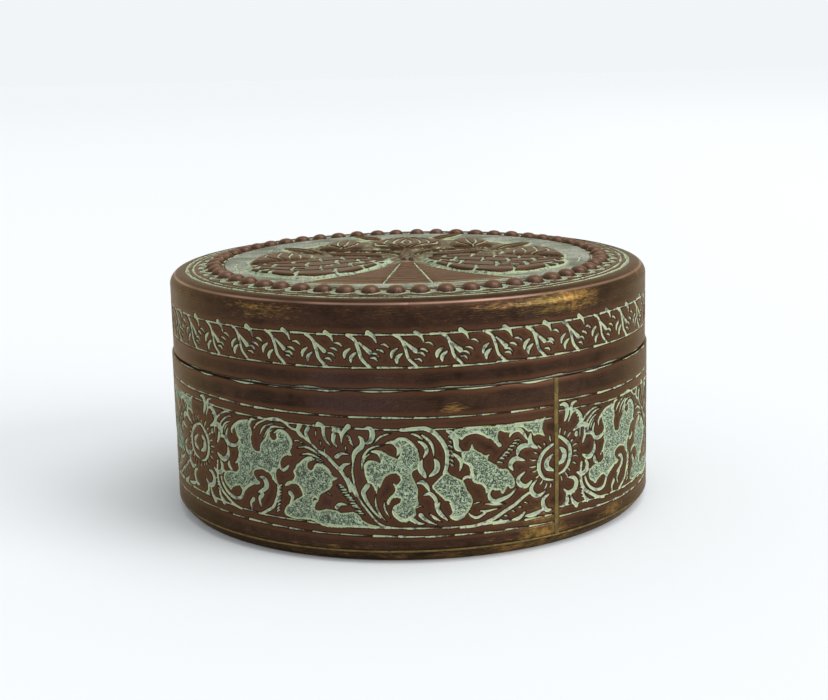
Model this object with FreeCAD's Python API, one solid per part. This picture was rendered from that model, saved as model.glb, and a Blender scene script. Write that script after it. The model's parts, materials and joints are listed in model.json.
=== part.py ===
import FreeCAD, Part
import math
import os

# A round copper paan box in millimetres, +Z up, standing on Z = 0 with its axis on Z.
# The front of the box, where the fan on the lid opens, looks along -Y.
# Sheet parts are turned profiles. A small round is turned as a few flats.

# Base
box_radius = 55.0
wall_sheet = 1.2
wall_top = 36.3
floor_edge_round = 2.4
floor_flat_count = 2
braze_height = 0.5
seam_width = 1.2
seam_proud = 0.12
base_seam_angle = 33.0

# Neck, the strip soldered inside the wall that the lid slides on
neck_sheet = 0.8
neck_depth = 9.0
neck_rise = 7.0
solder_gap = 0.1
lid_clearance = 0.15

# Lid
lid_sheet = 0.75
lid_seat_gap = 0.3
lid_headroom = 10.35
lid_edge_round = 3.5
lid_flat_count = 3
lid_seam_angle = 205.0

# Relief on the lid
bead_margin = 10.1
bead_pitch = 5.2
bead_radius = 1.9
bead_height = 1.15
bead_sides = 6
bead_crown_share = 0.5
medallion_margin = 2.7
emboss_height = 0.9
emboss_crown_share = 0.84

# Embossed forms of the medallion, as shares of its radius: +x to the right and +y to the back
wing_shares = [
    (-0.08, -0.13), (-0.21, -0.45), (-0.36, -0.62), (-0.60, -0.63),
    (-0.81, -0.45), (-0.87, -0.24), (-0.58, -0.11), (-0.34, 0.0),
]
leaf_shares = [(-0.86, -0.16), (-0.83, 0.12), (-0.72, 0.25), (-0.60, 0.17), (-0.52, -0.03)]
bud_shares = [(-0.50, 0.36), (-0.46, 0.58), (-0.34, 0.68), (-0.25, 0.56), (-0.26, 0.36), (-0.38, 0.28)]
lotus_shares = [
    (0.15, 0.38), (0.21, 0.56), (0.12, 0.70), (0.0, 0.76),
    (-0.12, 0.70), (-0.21, 0.56), (-0.15, 0.38), (0.0, 0.30),
]

# Leaf tray
tray_sheet = 0.8
tray_clearance = 0.6
tray_flange_inset = 0.3
tray_depth = 10.6

# Insert: a plate with wedge cups around a round cup for lime
insert_clearance = 0.7
plate_sheet = 0.8
plate_lip = 0.6
cup_sheet = 0.7
cup_count = 6
cup_gap = 0.4
lime_cup_radius = 14.0

# Cap of the lime cup with its faceted knob
cap_fit_gap = 0.15
cap_run_gap = 0.4
cap_skirt_depth = 4.0
knob_radius = 3.2
knob_height = 4.6
knob_sides = 8
knob_headroom = 1.0
tang_width = 1.6
rivet_width = 3.0
rivet_height = 0.7

# Folding ring of the tray and the eye that holds it
ring_radius = 7.5
ring_sides = 24
wire_radius = 0.75
wire_sides = 6
eye_play = 0.4
eye_width = 1.8
eye_wall = 1.2
eye_height = 1.6
ring_rest_gap = 0.15

# Overrun that carries a cutting tool past a face
overrun = 2.0

os.makedirs("parts", exist_ok=True)
origin = FreeCAD.Vector(0, 0, 0)
up = FreeCAD.Vector(0, 0, 1)
ahead = FreeCAD.Vector(1, 0, 0)

# Levels and radii that several pieces share
wall_inside = box_radius - wall_sheet
wall_foot = floor_edge_round + braze_height
neck_radius = wall_inside - solder_gap
neck_bore = neck_radius - neck_sheet
neck_top = wall_top + neck_rise
lid_inside = neck_radius + lid_clearance
lid_radius = lid_inside + lid_sheet
lid_foot = wall_top + lid_seat_gap
lid_top_height = neck_top + tray_sheet + lid_headroom + lid_sheet
lid_wall_top = lid_top_height - lid_edge_round
bead_ring_radius = lid_radius - bead_margin
bead_count = round(2 * math.pi * bead_ring_radius / bead_pitch)
medallion_radius = bead_ring_radius - medallion_margin
tray_foot = neck_top + tray_sheet - tray_depth
tray_floor = tray_foot + tray_sheet
insert_radius = neck_bore - insert_clearance
plate_top = wall_sheet + plate_sheet
cap_radius = lime_cup_radius + cap_fit_gap + cup_sheet
cap_top = tray_foot - rivet_height - knob_headroom - knob_height
cup_top = cap_top - cup_sheet
eye_bore = wire_radius + eye_play
eye_centre = tray_floor + eye_height


def turned(points):
    """A solid of revolution about the box's axis, from the (radius, height) corners of its section."""
    corners = [FreeCAD.Vector(radius, 0, height) for radius, height in points]
    section = Part.Face(Part.makePolygon(corners + corners[:1]))
    return section.revolve(origin, up, 360)


def ring(outer, inner, low, high):
    """A plain turned ring."""
    return turned([(inner, low), (outer, low), (outer, high), (inner, high)])


def rounded(radius, height, bend, start, flats):
    """The corners of a quarter round about (radius, height), from the angle start in degrees on."""
    corners = []
    for k in range(flats + 1):
        angle = math.radians(start + 90 * k / flats)
        corners.append((radius + bend * math.cos(angle), height + bend * math.sin(angle)))
    return corners


def circle_points(radius, sides, x, height):
    """The corners of a regular outline about a vertical axis at x."""
    angles = [2 * math.pi * (k + 0.5) / sides for k in range(sides)]
    return [FreeCAD.Vector(x + radius * math.cos(a), radius * math.sin(a), height) for a in angles]


def solid_of(facets):
    """A closed solid from flat facets given by their corners."""
    faces = [Part.Face(Part.makePolygon(corners + corners[:1])) for corners in facets]
    return Part.Solid(Part.Shell(faces))


def bands(outlines):
    """The facets between each outline and the next."""
    facets = []
    for lower, upper in zip(outlines, outlines[1:]):
        for k in range(len(lower)):
            facets.append([lower[k - 1], lower[k], upper[k], upper[k - 1]])
    return facets


def faceted(sides, tiers, x=0):
    """A cut form about a vertical axis at x, through regular outlines given as (radius, height)."""
    outlines = [circle_points(radius, sides, x, height) for radius, height in tiers]
    return solid_of([outlines[0], outlines[-1]] + bands(outlines))


def tang(low, high):
    """The square tang that rivets a fitting through a sheet, between two levels."""
    corner = FreeCAD.Vector(-tang_width / 2, -tang_width / 2, low)
    return Part.makeBox(tang_width, tang_width, high - low, corner)


def riveted(fitting, sheet_low, sheet_high):
    """A fitting with its tang through the sheet and the peened head under it."""
    half = math.sqrt(2) / 2
    head = faceted(4, [(tang_width * half, sheet_low - rivet_height), (rivet_width * half, sheet_low)])
    return fitting.fuse([tang(sheet_low, sheet_high), head]).removeSplitter()


def seam_slot(outer, angle, low, high):
    """The slot between the ends of a rolled wall, at an angle from the front towards +X."""
    slot = Part.makeBox(seam_width, wall_sheet + 2 * overrun, high - low)
    slot.translate(FreeCAD.Vector(-seam_width / 2, -outer - overrun, low))
    return slot.rotate(origin, up, angle)


def rolled_wall(outer, sheet, seam_angle, low, high):
    """A strip rolled into a ring, open where its ends nearly meet."""
    return ring(outer, outer - sheet, low, high).cut(seam_slot(outer, seam_angle, low, high))


def brazed_seam(outer, sheet, seam_angle, low, high):
    """The brass that fills the slot of a rolled wall and stands a little proud of it."""
    band = ring(outer + seam_proud, outer - sheet, low, high)
    return band.common(seam_slot(outer, seam_angle, low, high))


def base_floor():
    """The bottom: a disc whose edge is rounded up into a low flange under the wall."""
    edge = rounded(box_radius - floor_edge_round, floor_edge_round, floor_edge_round, -90, floor_flat_count)
    inside = [(wall_inside, floor_edge_round), (wall_inside, wall_sheet), (0, wall_sheet)]
    return turned([(0, 0)] + edge + inside)


def embossed(shares, mirror):
    """One raised form of the medallion, on the left or mirrored to the right, drawn in at its top."""
    x_middle = sum(x for x, y in shares) / len(shares)
    y_middle = sum(y for x, y in shares) / len(shares)
    outlines = []
    for size, height in [(1, 0), (emboss_crown_share, emboss_height)]:
        corners = []
        for x, y in shares:
            across = mirror * (x_middle + size * (x - x_middle))
            back = y_middle + size * (y - y_middle)
            level = up * (lid_top_height + height)
            corners.append(FreeCAD.Vector(across, back, 0) * medallion_radius + level)
        outlines.append(corners)
    return solid_of(outlines + bands(outlines))


def lid_top():
    """The disc of the lid: a rounded edge, a ring of beads and an embossed medallion."""
    edge = rounded(lid_radius - lid_edge_round, lid_wall_top, lid_edge_round, 0, lid_flat_count)
    ceiling = lid_top_height - lid_sheet
    underside = [(0, ceiling), (lid_radius - lid_edge_round, ceiling), (lid_inside, lid_wall_top)]
    disc = turned(underside + edge + [(0, lid_top_height)])
    bead = faceted(bead_sides, [
        (bead_radius, lid_top_height), (bead_radius * bead_crown_share, lid_top_height + bead_height),
    ], bead_ring_radius)
    relief = [bead.rotated(origin, up, 360 * k / bead_count) for k in range(bead_count)]
    for shares in [wing_shares, leaf_shares, bud_shares]:
        relief += [embossed(shares, mirror) for mirror in (1, -1)]
    relief.append(embossed(lotus_shares, 1))
    return disc.fuse(relief).removeSplitter()


def insert_plate():
    """The plate that carries the cups, so that they lift out together."""
    return turned([(0, wall_sheet), (insert_radius, wall_sheet), (insert_radius, plate_top), (0, plate_top)])


def wedge(outer, inner, side, low, high):
    """One cup's share of a ring, with flat sides set back by side from the lines between neighbours."""
    half = math.pi / cup_count
    turn = half - math.asin(side / outer)
    reach = inner * math.tan(half) - side / math.cos(half)
    front = [FreeCAD.Vector(outer * math.cos(a), outer * math.sin(a), low) for a in (-turn, 0, turn)]
    back = [FreeCAD.Vector(inner, y, low) for y in (reach, -reach)]
    edges = [
        Part.Arc(front[0], front[1], front[2]),
        Part.LineSegment(front[2], back[0]),
        Part.LineSegment(back[0], back[1]),
        Part.LineSegment(back[1], front[0]),
    ]
    outline = Part.Wire([edge.toShape() for edge in edges])
    return Part.Face(outline).extrude(up * (high - low))


def wedge_cup(k):
    """One of the cups around the lime cup, folded from sheet with its own bottom."""
    outer = insert_radius - plate_lip
    inner = cap_radius + cap_run_gap
    side = cup_gap / 2
    bottom = plate_top + cup_sheet
    body = wedge(outer, inner, side, plate_top, cup_top)
    hollow = wedge(outer - cup_sheet, inner + cup_sheet, side + cup_sheet, bottom, cup_top + overrun)
    return body.cut(hollow).rotated(origin, up, 360 * (k + 0.5) / cup_count)


def lime_cup():
    """The round cup in the middle."""
    bore = lime_cup_radius - cup_sheet
    return turned([
        (0, plate_top), (lime_cup_radius, plate_top), (lime_cup_radius, cup_top),
        (bore, cup_top), (bore, plate_top + cup_sheet), (0, plate_top + cup_sheet),
    ])


def lime_cap():
    """The slip-over cap that keeps the lime moist, with the square hole of its knob."""
    skirt_foot = cup_top - cap_skirt_depth
    bore = cap_radius - cup_sheet
    cap = turned([
        (0, cup_top), (bore, cup_top), (bore, skirt_foot),
        (cap_radius, skirt_foot), (cap_radius, cap_top), (0, cap_top),
    ])
    return cap.cut(tang(cup_top - overrun, cap_top + overrun))


def lime_knob():
    """The faceted knob of the cap, riveted through it."""
    form_shares = [(0.8, 0), (0.45, 0.35), (1.0, 0.7), (0.5, 1.0)]
    tiers = [(knob_radius * width, cap_top + knob_height * height) for width, height in form_shares]
    return riveted(faceted(knob_sides, tiers), cup_top, cap_top)


def leaf_tray():
    """The tray for the leaves: a shallow dish whose flange rests on the neck."""
    outside = neck_bore - tray_clearance
    inside = outside - tray_sheet
    flange = neck_radius - tray_flange_inset
    flange_top = neck_top + tray_sheet
    tray = turned([
        (0, tray_foot), (outside, tray_foot), (outside, neck_top), (flange, neck_top), (flange, flange_top),
        (inside, flange_top), (inside, tray_floor), (0, tray_floor),
    ])
    return tray.cut(tang(tray_foot - overrun, tray_floor + overrun))


def tray_eye():
    """The lug on the tray with a cross hole for the ring."""
    reach = eye_bore + eye_wall
    middle = FreeCAD.Vector(-eye_width / 2, 0, eye_centre)
    corner = FreeCAD.Vector(-eye_width / 2, -reach, tray_floor)
    post = Part.makeBox(eye_width, 2 * reach, eye_height, corner)
    lug = post.fuse(Part.makeCylinder(reach, eye_width, middle, ahead))
    lug = lug.cut(Part.makeBox(eye_width, 2 * reach, reach, corner - up * reach))
    lug = riveted(lug, tray_foot, tray_floor)
    return lug.cut(Part.makeCylinder(eye_bore, eye_width + 2 * overrun, middle - ahead * overrun, ahead))


def tray_ring():
    """The ring of drawn wire, threaded through the eye and lying down towards the front."""
    section = circle_points(wire_radius, wire_sides, 0, 0)
    outlines = []
    for k in range(ring_sides + 1):
        angle = 360 * k / ring_sides
        outline = [FreeCAD.Vector(ring_radius + point.x, 0, point.y) for point in section]
        outlines.append([FreeCAD.Rotation(up, angle).multVec(point) for point in outline])
    hoop = solid_of(bands(outlines))
    hoop.translate(FreeCAD.Vector(0, -ring_radius, eye_centre))
    tilt = math.asin((eye_height - wire_radius - ring_rest_gap) / (2 * ring_radius))
    return hoop.rotate(FreeCAD.Vector(0, 0, eye_centre), ahead, math.degrees(tilt))


def save(name, shape):
    """Writes one piece to its own file and prints what it holds."""
    shape.exportStep("parts/" + name + ".step")
    print(name, len(shape.Solids), "solid,", round(shape.Volume, 1), "mm3, valid", shape.isValid())


save("base_floor", base_floor())
save("floor_braze", ring(box_radius, wall_inside, floor_edge_round, wall_foot))
save("base_wall", rolled_wall(box_radius, wall_sheet, base_seam_angle, wall_foot, wall_top))
save("base_seam", brazed_seam(box_radius, wall_sheet, base_seam_angle, wall_foot, wall_top))
save("neck", ring(neck_radius, neck_bore, wall_top - neck_depth, neck_top))
save("lid_wall", rolled_wall(lid_radius, lid_sheet, lid_seam_angle, lid_foot, lid_wall_top))
save("lid_seam", brazed_seam(lid_radius, lid_sheet, lid_seam_angle, lid_foot, lid_wall_top))
save("lid_top", lid_top())
save("insert_plate", insert_plate())
for k in range(cup_count):
    save("wedge_cup_" + str(k + 1), wedge_cup(k))
save("lime_cup", lime_cup())
save("lime_cap", lime_cap())
save("lime_knob", lime_knob())
save("leaf_tray", leaf_tray())
save("tray_eye", tray_eye())
save("tray_ring", tray_ring())
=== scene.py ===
import json
import math
import bmesh
import bpy
import numpy as np
from mathutils import Matrix, Vector


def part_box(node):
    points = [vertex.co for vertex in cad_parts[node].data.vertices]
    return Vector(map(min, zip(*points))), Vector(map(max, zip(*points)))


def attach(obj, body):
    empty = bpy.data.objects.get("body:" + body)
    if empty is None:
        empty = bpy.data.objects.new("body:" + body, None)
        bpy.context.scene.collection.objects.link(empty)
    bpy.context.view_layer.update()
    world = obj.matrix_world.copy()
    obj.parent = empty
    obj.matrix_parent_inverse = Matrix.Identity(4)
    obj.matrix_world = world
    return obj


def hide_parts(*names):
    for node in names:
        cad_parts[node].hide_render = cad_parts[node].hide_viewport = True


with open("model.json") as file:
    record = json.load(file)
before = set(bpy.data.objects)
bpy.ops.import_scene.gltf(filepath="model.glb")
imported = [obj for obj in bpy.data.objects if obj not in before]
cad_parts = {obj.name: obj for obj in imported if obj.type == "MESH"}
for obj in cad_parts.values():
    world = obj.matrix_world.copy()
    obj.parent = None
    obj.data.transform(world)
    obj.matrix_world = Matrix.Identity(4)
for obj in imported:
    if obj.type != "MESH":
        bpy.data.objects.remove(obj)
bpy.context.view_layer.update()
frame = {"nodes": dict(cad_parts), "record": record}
mm = 0.001

# A round copper box for betel leaf. Lengths are in millimetres until a mesh is made.
# Round a wall, x runs in millimetres of arc from the front of the box towards +X, and z is the height.

fullTurn = 2 * math.pi


def level(node, end):
    # the lowest (end 0) or highest (end 1) level of a CAD node
    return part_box(node)[end][2] / mm


def reach(node):
    # the radius of a round CAD node
    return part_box(node)[1][0] / mm


def seamPlace(node):
    # the angle of a seam from the front, from the middle of its box
    low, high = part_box(node)
    return math.atan2(low[0] + high[0], -low[1] - high[1])


boxRadius = reach("base_floor")
lidRadius = reach("lid_top")
neckRadius = reach("neck")


# Meshes

# What each vertex carries: distances in millimetres to the nearest line, stippled area and raised form, and
# the shares of gold, of rubbed copper with painted sheen and highlight, and of tinning
farAway = 2.0
plainValues = {
    "line": farAway, "blob": farAway, "ground": -farAway, "gold": 0.0, "rubAndSheen": 0.0, "inside": 0.0,
}


def plainFields(shape, *keys):
    # arrays of the plain values, to be drawn on
    return {key: np.full(shape, plainValues[key]) for key in keys}


def nodeOf(name):
    # the CAD node that a piece shows: leafTray shows leaf_tray
    return "".join("_" + letter.lower() if letter.isupper() else letter for letter in name)


def closedPiece(name, points, faces, attributes, look, body, nodes, creaseAngle=50):
    # a closed mesh from points in millimetres, quads and caps. It is turned outwards where its signed volume,
    # the sum of a . (b x c) over its triangles, is below 0
    quads, caps = faces
    fans = [(cap[0], cap[k], cap[k + 1]) for cap in caps for k in range(1, len(cap) - 1)]
    halves = np.concatenate([quads[:, [0, 1, 2]], quads[:, [0, 2, 3]], np.array(fans, int).reshape(-1, 3)])
    a, b, c = (points[halves[:, k]] for k in range(3))
    if np.einsum("ij,ij->i", a, np.cross(b, c)).sum() < 0:
        quads, caps = quads[:, ::-1], [cap[::-1] for cap in caps]
    mesh = bpy.data.meshes.new(name)
    mesh.from_pydata((points * mm).tolist(), [], quads.tolist() + caps)
    for key, plain in plainValues.items():
        values = attributes.get(key, np.full(len(points), plain)).ravel().astype(np.float32)
        mesh.attributes.new(key, "FLOAT", "POINT").data.foreach_set("value", values)
    mesh.shade_smooth()
    mesh.set_sharp_from_angle(angle=math.radians(creaseAngle))
    mesh.materials.append(look["material"])
    piece = bpy.data.objects.new(name, mesh)
    bpy.context.collection.objects.link(piece)
    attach(piece, body)
    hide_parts(*nodes)
    print(name, len(halves), "triangles")
    return piece


def gridQuads(rows, columns, wrapRows, wrapColumns):
    # the corners of the quads of a grid whose points lie row after row
    rowIndex = np.arange(rows if wrapRows else rows - 1)
    columnIndex = np.arange(columns if wrapColumns else columns - 1)
    r, c = (part.ravel() for part in np.meshgrid(rowIndex, columnIndex, indexing="ij"))
    up, along = (r + 1) % rows, (c + 1) % columns
    return np.stack([r * columns + c, r * columns + along, up * columns + along, up * columns + c], axis=1)


def mergePoles(piece):
    # one vertex where a turned section meets the axis
    mesh = piece.data
    spots = np.empty(len(mesh.vertices) * 3)
    mesh.vertices.foreach_get("co", spots)
    onAxis = np.hypot(spots[0::3], spots[1::3]) < 1e-9
    if onAxis.any():
        work = bmesh.new()
        work.from_mesh(mesh)
        work.verts.ensure_lookup_table()
        poles = [work.verts[k] for k in np.flatnonzero(onAxis)]
        bmesh.ops.remove_doubles(work, verts=poles, dist=1e-8)
        work.to_mesh(mesh)
        work.free()


def smoothNoise(x, y, size, seed):
    # a gentle random surface: the mean of eight waves about size long, in random directions
    draw = np.random.default_rng(seed)
    turns, phases = draw.uniform(0, fullTurn, 8), draw.uniform(0, fullTurn, 8)
    total = np.zeros(np.broadcast(x, y).shape)
    for turn, phase, stretch in zip(turns, phases, draw.uniform(0.7, 1.5, 8)):
        total += np.sin(fullTurn / (size * stretch) * (x * math.cos(turn) + y * math.sin(turn)) + phase)
    return total / 8


def roundedCorners(corners, steps=5):
    # a section with each corner (radius, height, rounding) replaced by an arc that touches both sides
    path = []
    for k, (radius, height, rounding) in enumerate(corners):
        here = np.array([radius, height], float)
        if rounding == 0:
            path.append(here)
            continue
        before = np.array(corners[k - 1][:2]) - here
        after = np.array(corners[(k + 1) % len(corners)][:2]) - here
        before, after = before / np.linalg.norm(before), after / np.linalg.norm(after)
        half = math.acos(np.clip(before @ after, -1, 1)) / 2
        tangent = rounding / math.tan(half)
        middle = here + (before + after) / np.linalg.norm(before + after) * rounding / math.sin(half)
        start, end = here + before * tangent - middle, here + after * tangent - middle
        sweep = math.atan2(start[0] * end[1] - start[1] * end[0], start @ end)
        for t in np.linspace(0, sweep, steps + 1):
            cos, sin = math.cos(t), math.sin(t)
            path.append(middle + (start[0] * cos - start[1] * sin, start[0] * sin + start[1] * cos))
    return np.array(path)


def turnedPiece(name, corners, columns, look, body, inside=None, spots=None, unevenness=0.03, steps=5):
    # a section carried round the axis, with slight dents; the section ends on the axis or closes on itself
    section = roundedCorners(corners, steps)
    angles = np.arange(columns) * fullTurn / columns
    radius = section[:, :1] + np.zeros(columns)
    height = section[:, 1:] + np.zeros(columns)
    away = np.minimum(radius / 5, 1)
    dents = smoothNoise(radius * np.cos(angles) + height, radius * np.sin(angles), 17, len(name))
    radius = np.where(section[:, :1] < 1e-6, 0, radius - abs(unevenness * away * dents))
    points = np.stack([radius * np.sin(angles), -radius * np.cos(angles), height], axis=-1).reshape(-1, 3)
    closed = section[0, 0] > 1e-6 or section[-1, 0] > 1e-6
    quads = gridQuads(len(section), columns, closed, True)
    attributes = {}
    if inside:
        attributes["inside"] = inside(radius, height).astype(float)
    if spots:
        attributes["gold"] = goldSpots(angles * boxRadius + 0 * radius, height, boxRadius, spots)
    piece = closedPiece(name, points, (quads, []), attributes, look, body, [nodeOf(name)])
    mergePoles(piece)
    return piece


# Drawing: fields over a flat sheet that hold the distance to the nearest chased line, below 0 in the line

def newSheet(x, y):
    # an empty drawing over rows y and columns x
    shape = (len(y), len(x))
    return {"x": x, "y": y, "line": np.full(shape, farAway), "blob": np.full(shape, farAway)}


def smoothChain(points, closed=False, steps=6):
    # a smooth curve through points, as Catmull-Rom spans
    points = np.asarray(points, float)
    if closed:
        ring = np.vstack([points[-1:], points, points[:2]])
    else:
        ring = np.vstack([2 * points[:1] - points[1:2], points, 2 * points[-1:] - points[-2:-1]])
    t = np.arange(steps)[None, :, None] / steps
    a, b, c, d = (ring[k:len(ring) - 3 + k, None] for k in range(4))
    bend, twist = a - 2.5 * b + 2 * c - d / 2, 1.5 * (b - c) + (d - a) / 2
    path = (b + t * (c - a) / 2 + t ** 2 * bend + t ** 3 * twist).reshape(-1, 2)
    return path if closed else np.vstack([path, points[-1:]])


def window(sheet, path, margin):
    # the rows and columns of a sheet around a path
    low, high = path.min(axis=0) - margin, path.max(axis=0) + margin
    left, right = np.searchsorted(sheet["x"], [low[0], high[0]])
    bottom, top = np.searchsorted(sheet["y"], [low[1], high[1]])
    return slice(bottom, top), slice(left, right)


def distanceTo(sheet, part, path, widths):
    # the distance from each point of a part of the sheet to a path, less its half width there
    x = sheet["x"][part[1]][None, None, :]
    y = sheet["y"][part[0]][None, :, None]
    start, end = path[:-1, :, None, None], path[1:, :, None, None]
    alongX, alongY = end[:, 0] - start[:, 0], end[:, 1] - start[:, 1]
    share = (x - start[:, 0]) * alongX + (y - start[:, 1]) * alongY
    share = np.clip(share / (alongX ** 2 + alongY ** 2 + 1e-9), 0, 1)
    gap = np.hypot(x - start[:, 0] - share * alongX, y - start[:, 1] - share * alongY)
    half = widths[:-1, None, None] + share * (widths[1:, None, None] - widths[:-1, None, None])
    return (gap - half / 2).min(axis=0)


# How the width of a stroke runs from its start to its end
tapers = {
    "even": lambda t: 0.8 + 0.2 * np.sin(math.pi * t),
    "both": lambda t: 0.3 + 0.7 * np.sin(math.pi * t) ** 0.8,
    "comma": lambda t: 1 - 0.72 * t ** 1.4,
    "rising": lambda t: 0.35 + 0.65 * t ** 1.2,
    "dash": lambda t: 1 - 0.5 * t,
}


def chase(sheet, points, width, taper="both", steps=6, margin=1.3):
    # one chisel stroke along a smooth curve: each point keeps the least distance to any stroke so far
    path = smoothChain(points, steps=steps)
    t = np.linspace(0, 1, len(path))
    part = window(sheet, path, margin)
    here = sheet["line"][part]
    if here.size:
        np.minimum(here, distanceTo(sheet, part, path, width * tapers[taper](t)), out=here)


def signedGap(sheet, part, path):
    # the distance to a closed outline, below 0 inside it: the sign comes from how often a ray crosses it
    x = sheet["x"][part[1]][None, :]
    y = sheet["y"][part[0]][:, None]
    loop = np.vstack([path, path[:1]])
    gap = distanceTo(sheet, part, loop, np.zeros(len(loop)))
    inside = np.zeros(gap.shape, bool)
    for (ax, ay), (bx, by) in zip(loop[:-1], loop[1:]):
        if ay != by:
            inside ^= ((ay > y) != (by > y)) & (x < ax + (y - ay) * (bx - ax) / (by - ay))
    return np.where(inside, -gap, gap)


def fillBlob(sheet, outline, margin=1.5, steps=4):
    # an area lowered and stippled inside a smooth outline
    path = smoothChain(outline, closed=True, steps=steps)
    part = window(sheet, path, margin)
    here = sheet["blob"][part]
    if here.size:
        np.minimum(here, signedGap(sheet, part, path), out=here)


def crescent(centre, radius, facing, sweep, count=7):
    # points along an arc about a centre, facing a direction in degrees
    angles = np.radians(facing + np.linspace(-sweep / 2, sweep / 2, count))
    return np.stack([centre[0] + radius * np.cos(angles), centre[1] + radius * np.sin(angles)], axis=1)


def ticks(start, end, count, length, lean, bow=0.12):
    # short parallel strokes side by side from start to end, each a little bowed
    heading = np.array([math.cos(math.radians(lean)), math.sin(math.radians(lean))])
    side = np.array([-heading[1], heading[0]])
    strokes = []
    for t in np.linspace(0, 1, count):
        middle = np.array(start) + t * (np.array(end) - np.array(start))
        half = heading * length / 2
        strokes.append([middle - half, middle + side * bow * length, middle + half])
    return strokes


# Wall of the base: four panels of scrolls with a rosette between them, in a frame of dashed lines

wallBand = {
    "lines": ((30.6, 1), (28.1, 1.4), (7.4, 1.4), (5.7, 1)), "dash": 5.6, "dashWidth": 0.5,
    "driftShares": (0, 0.05, 0.3, 0.76, 0.81, 0.87, 0.94, 1),
    "drifts": (0.8, 0.25, 0.1, 1.2, 0.75, 0.35, 0, -0.15), "panelDrift": 1.4,
    "frontPanel": (-54.9, 31.5), "panels": 4, "wander": 0.10, "tickWidth": 0.40,
    "rosetteHeight": 18.6, "rays": 24, "rayFrom": 4.75, "rayTo": 6.2, "rayWidth": 0.42,
}

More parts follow.
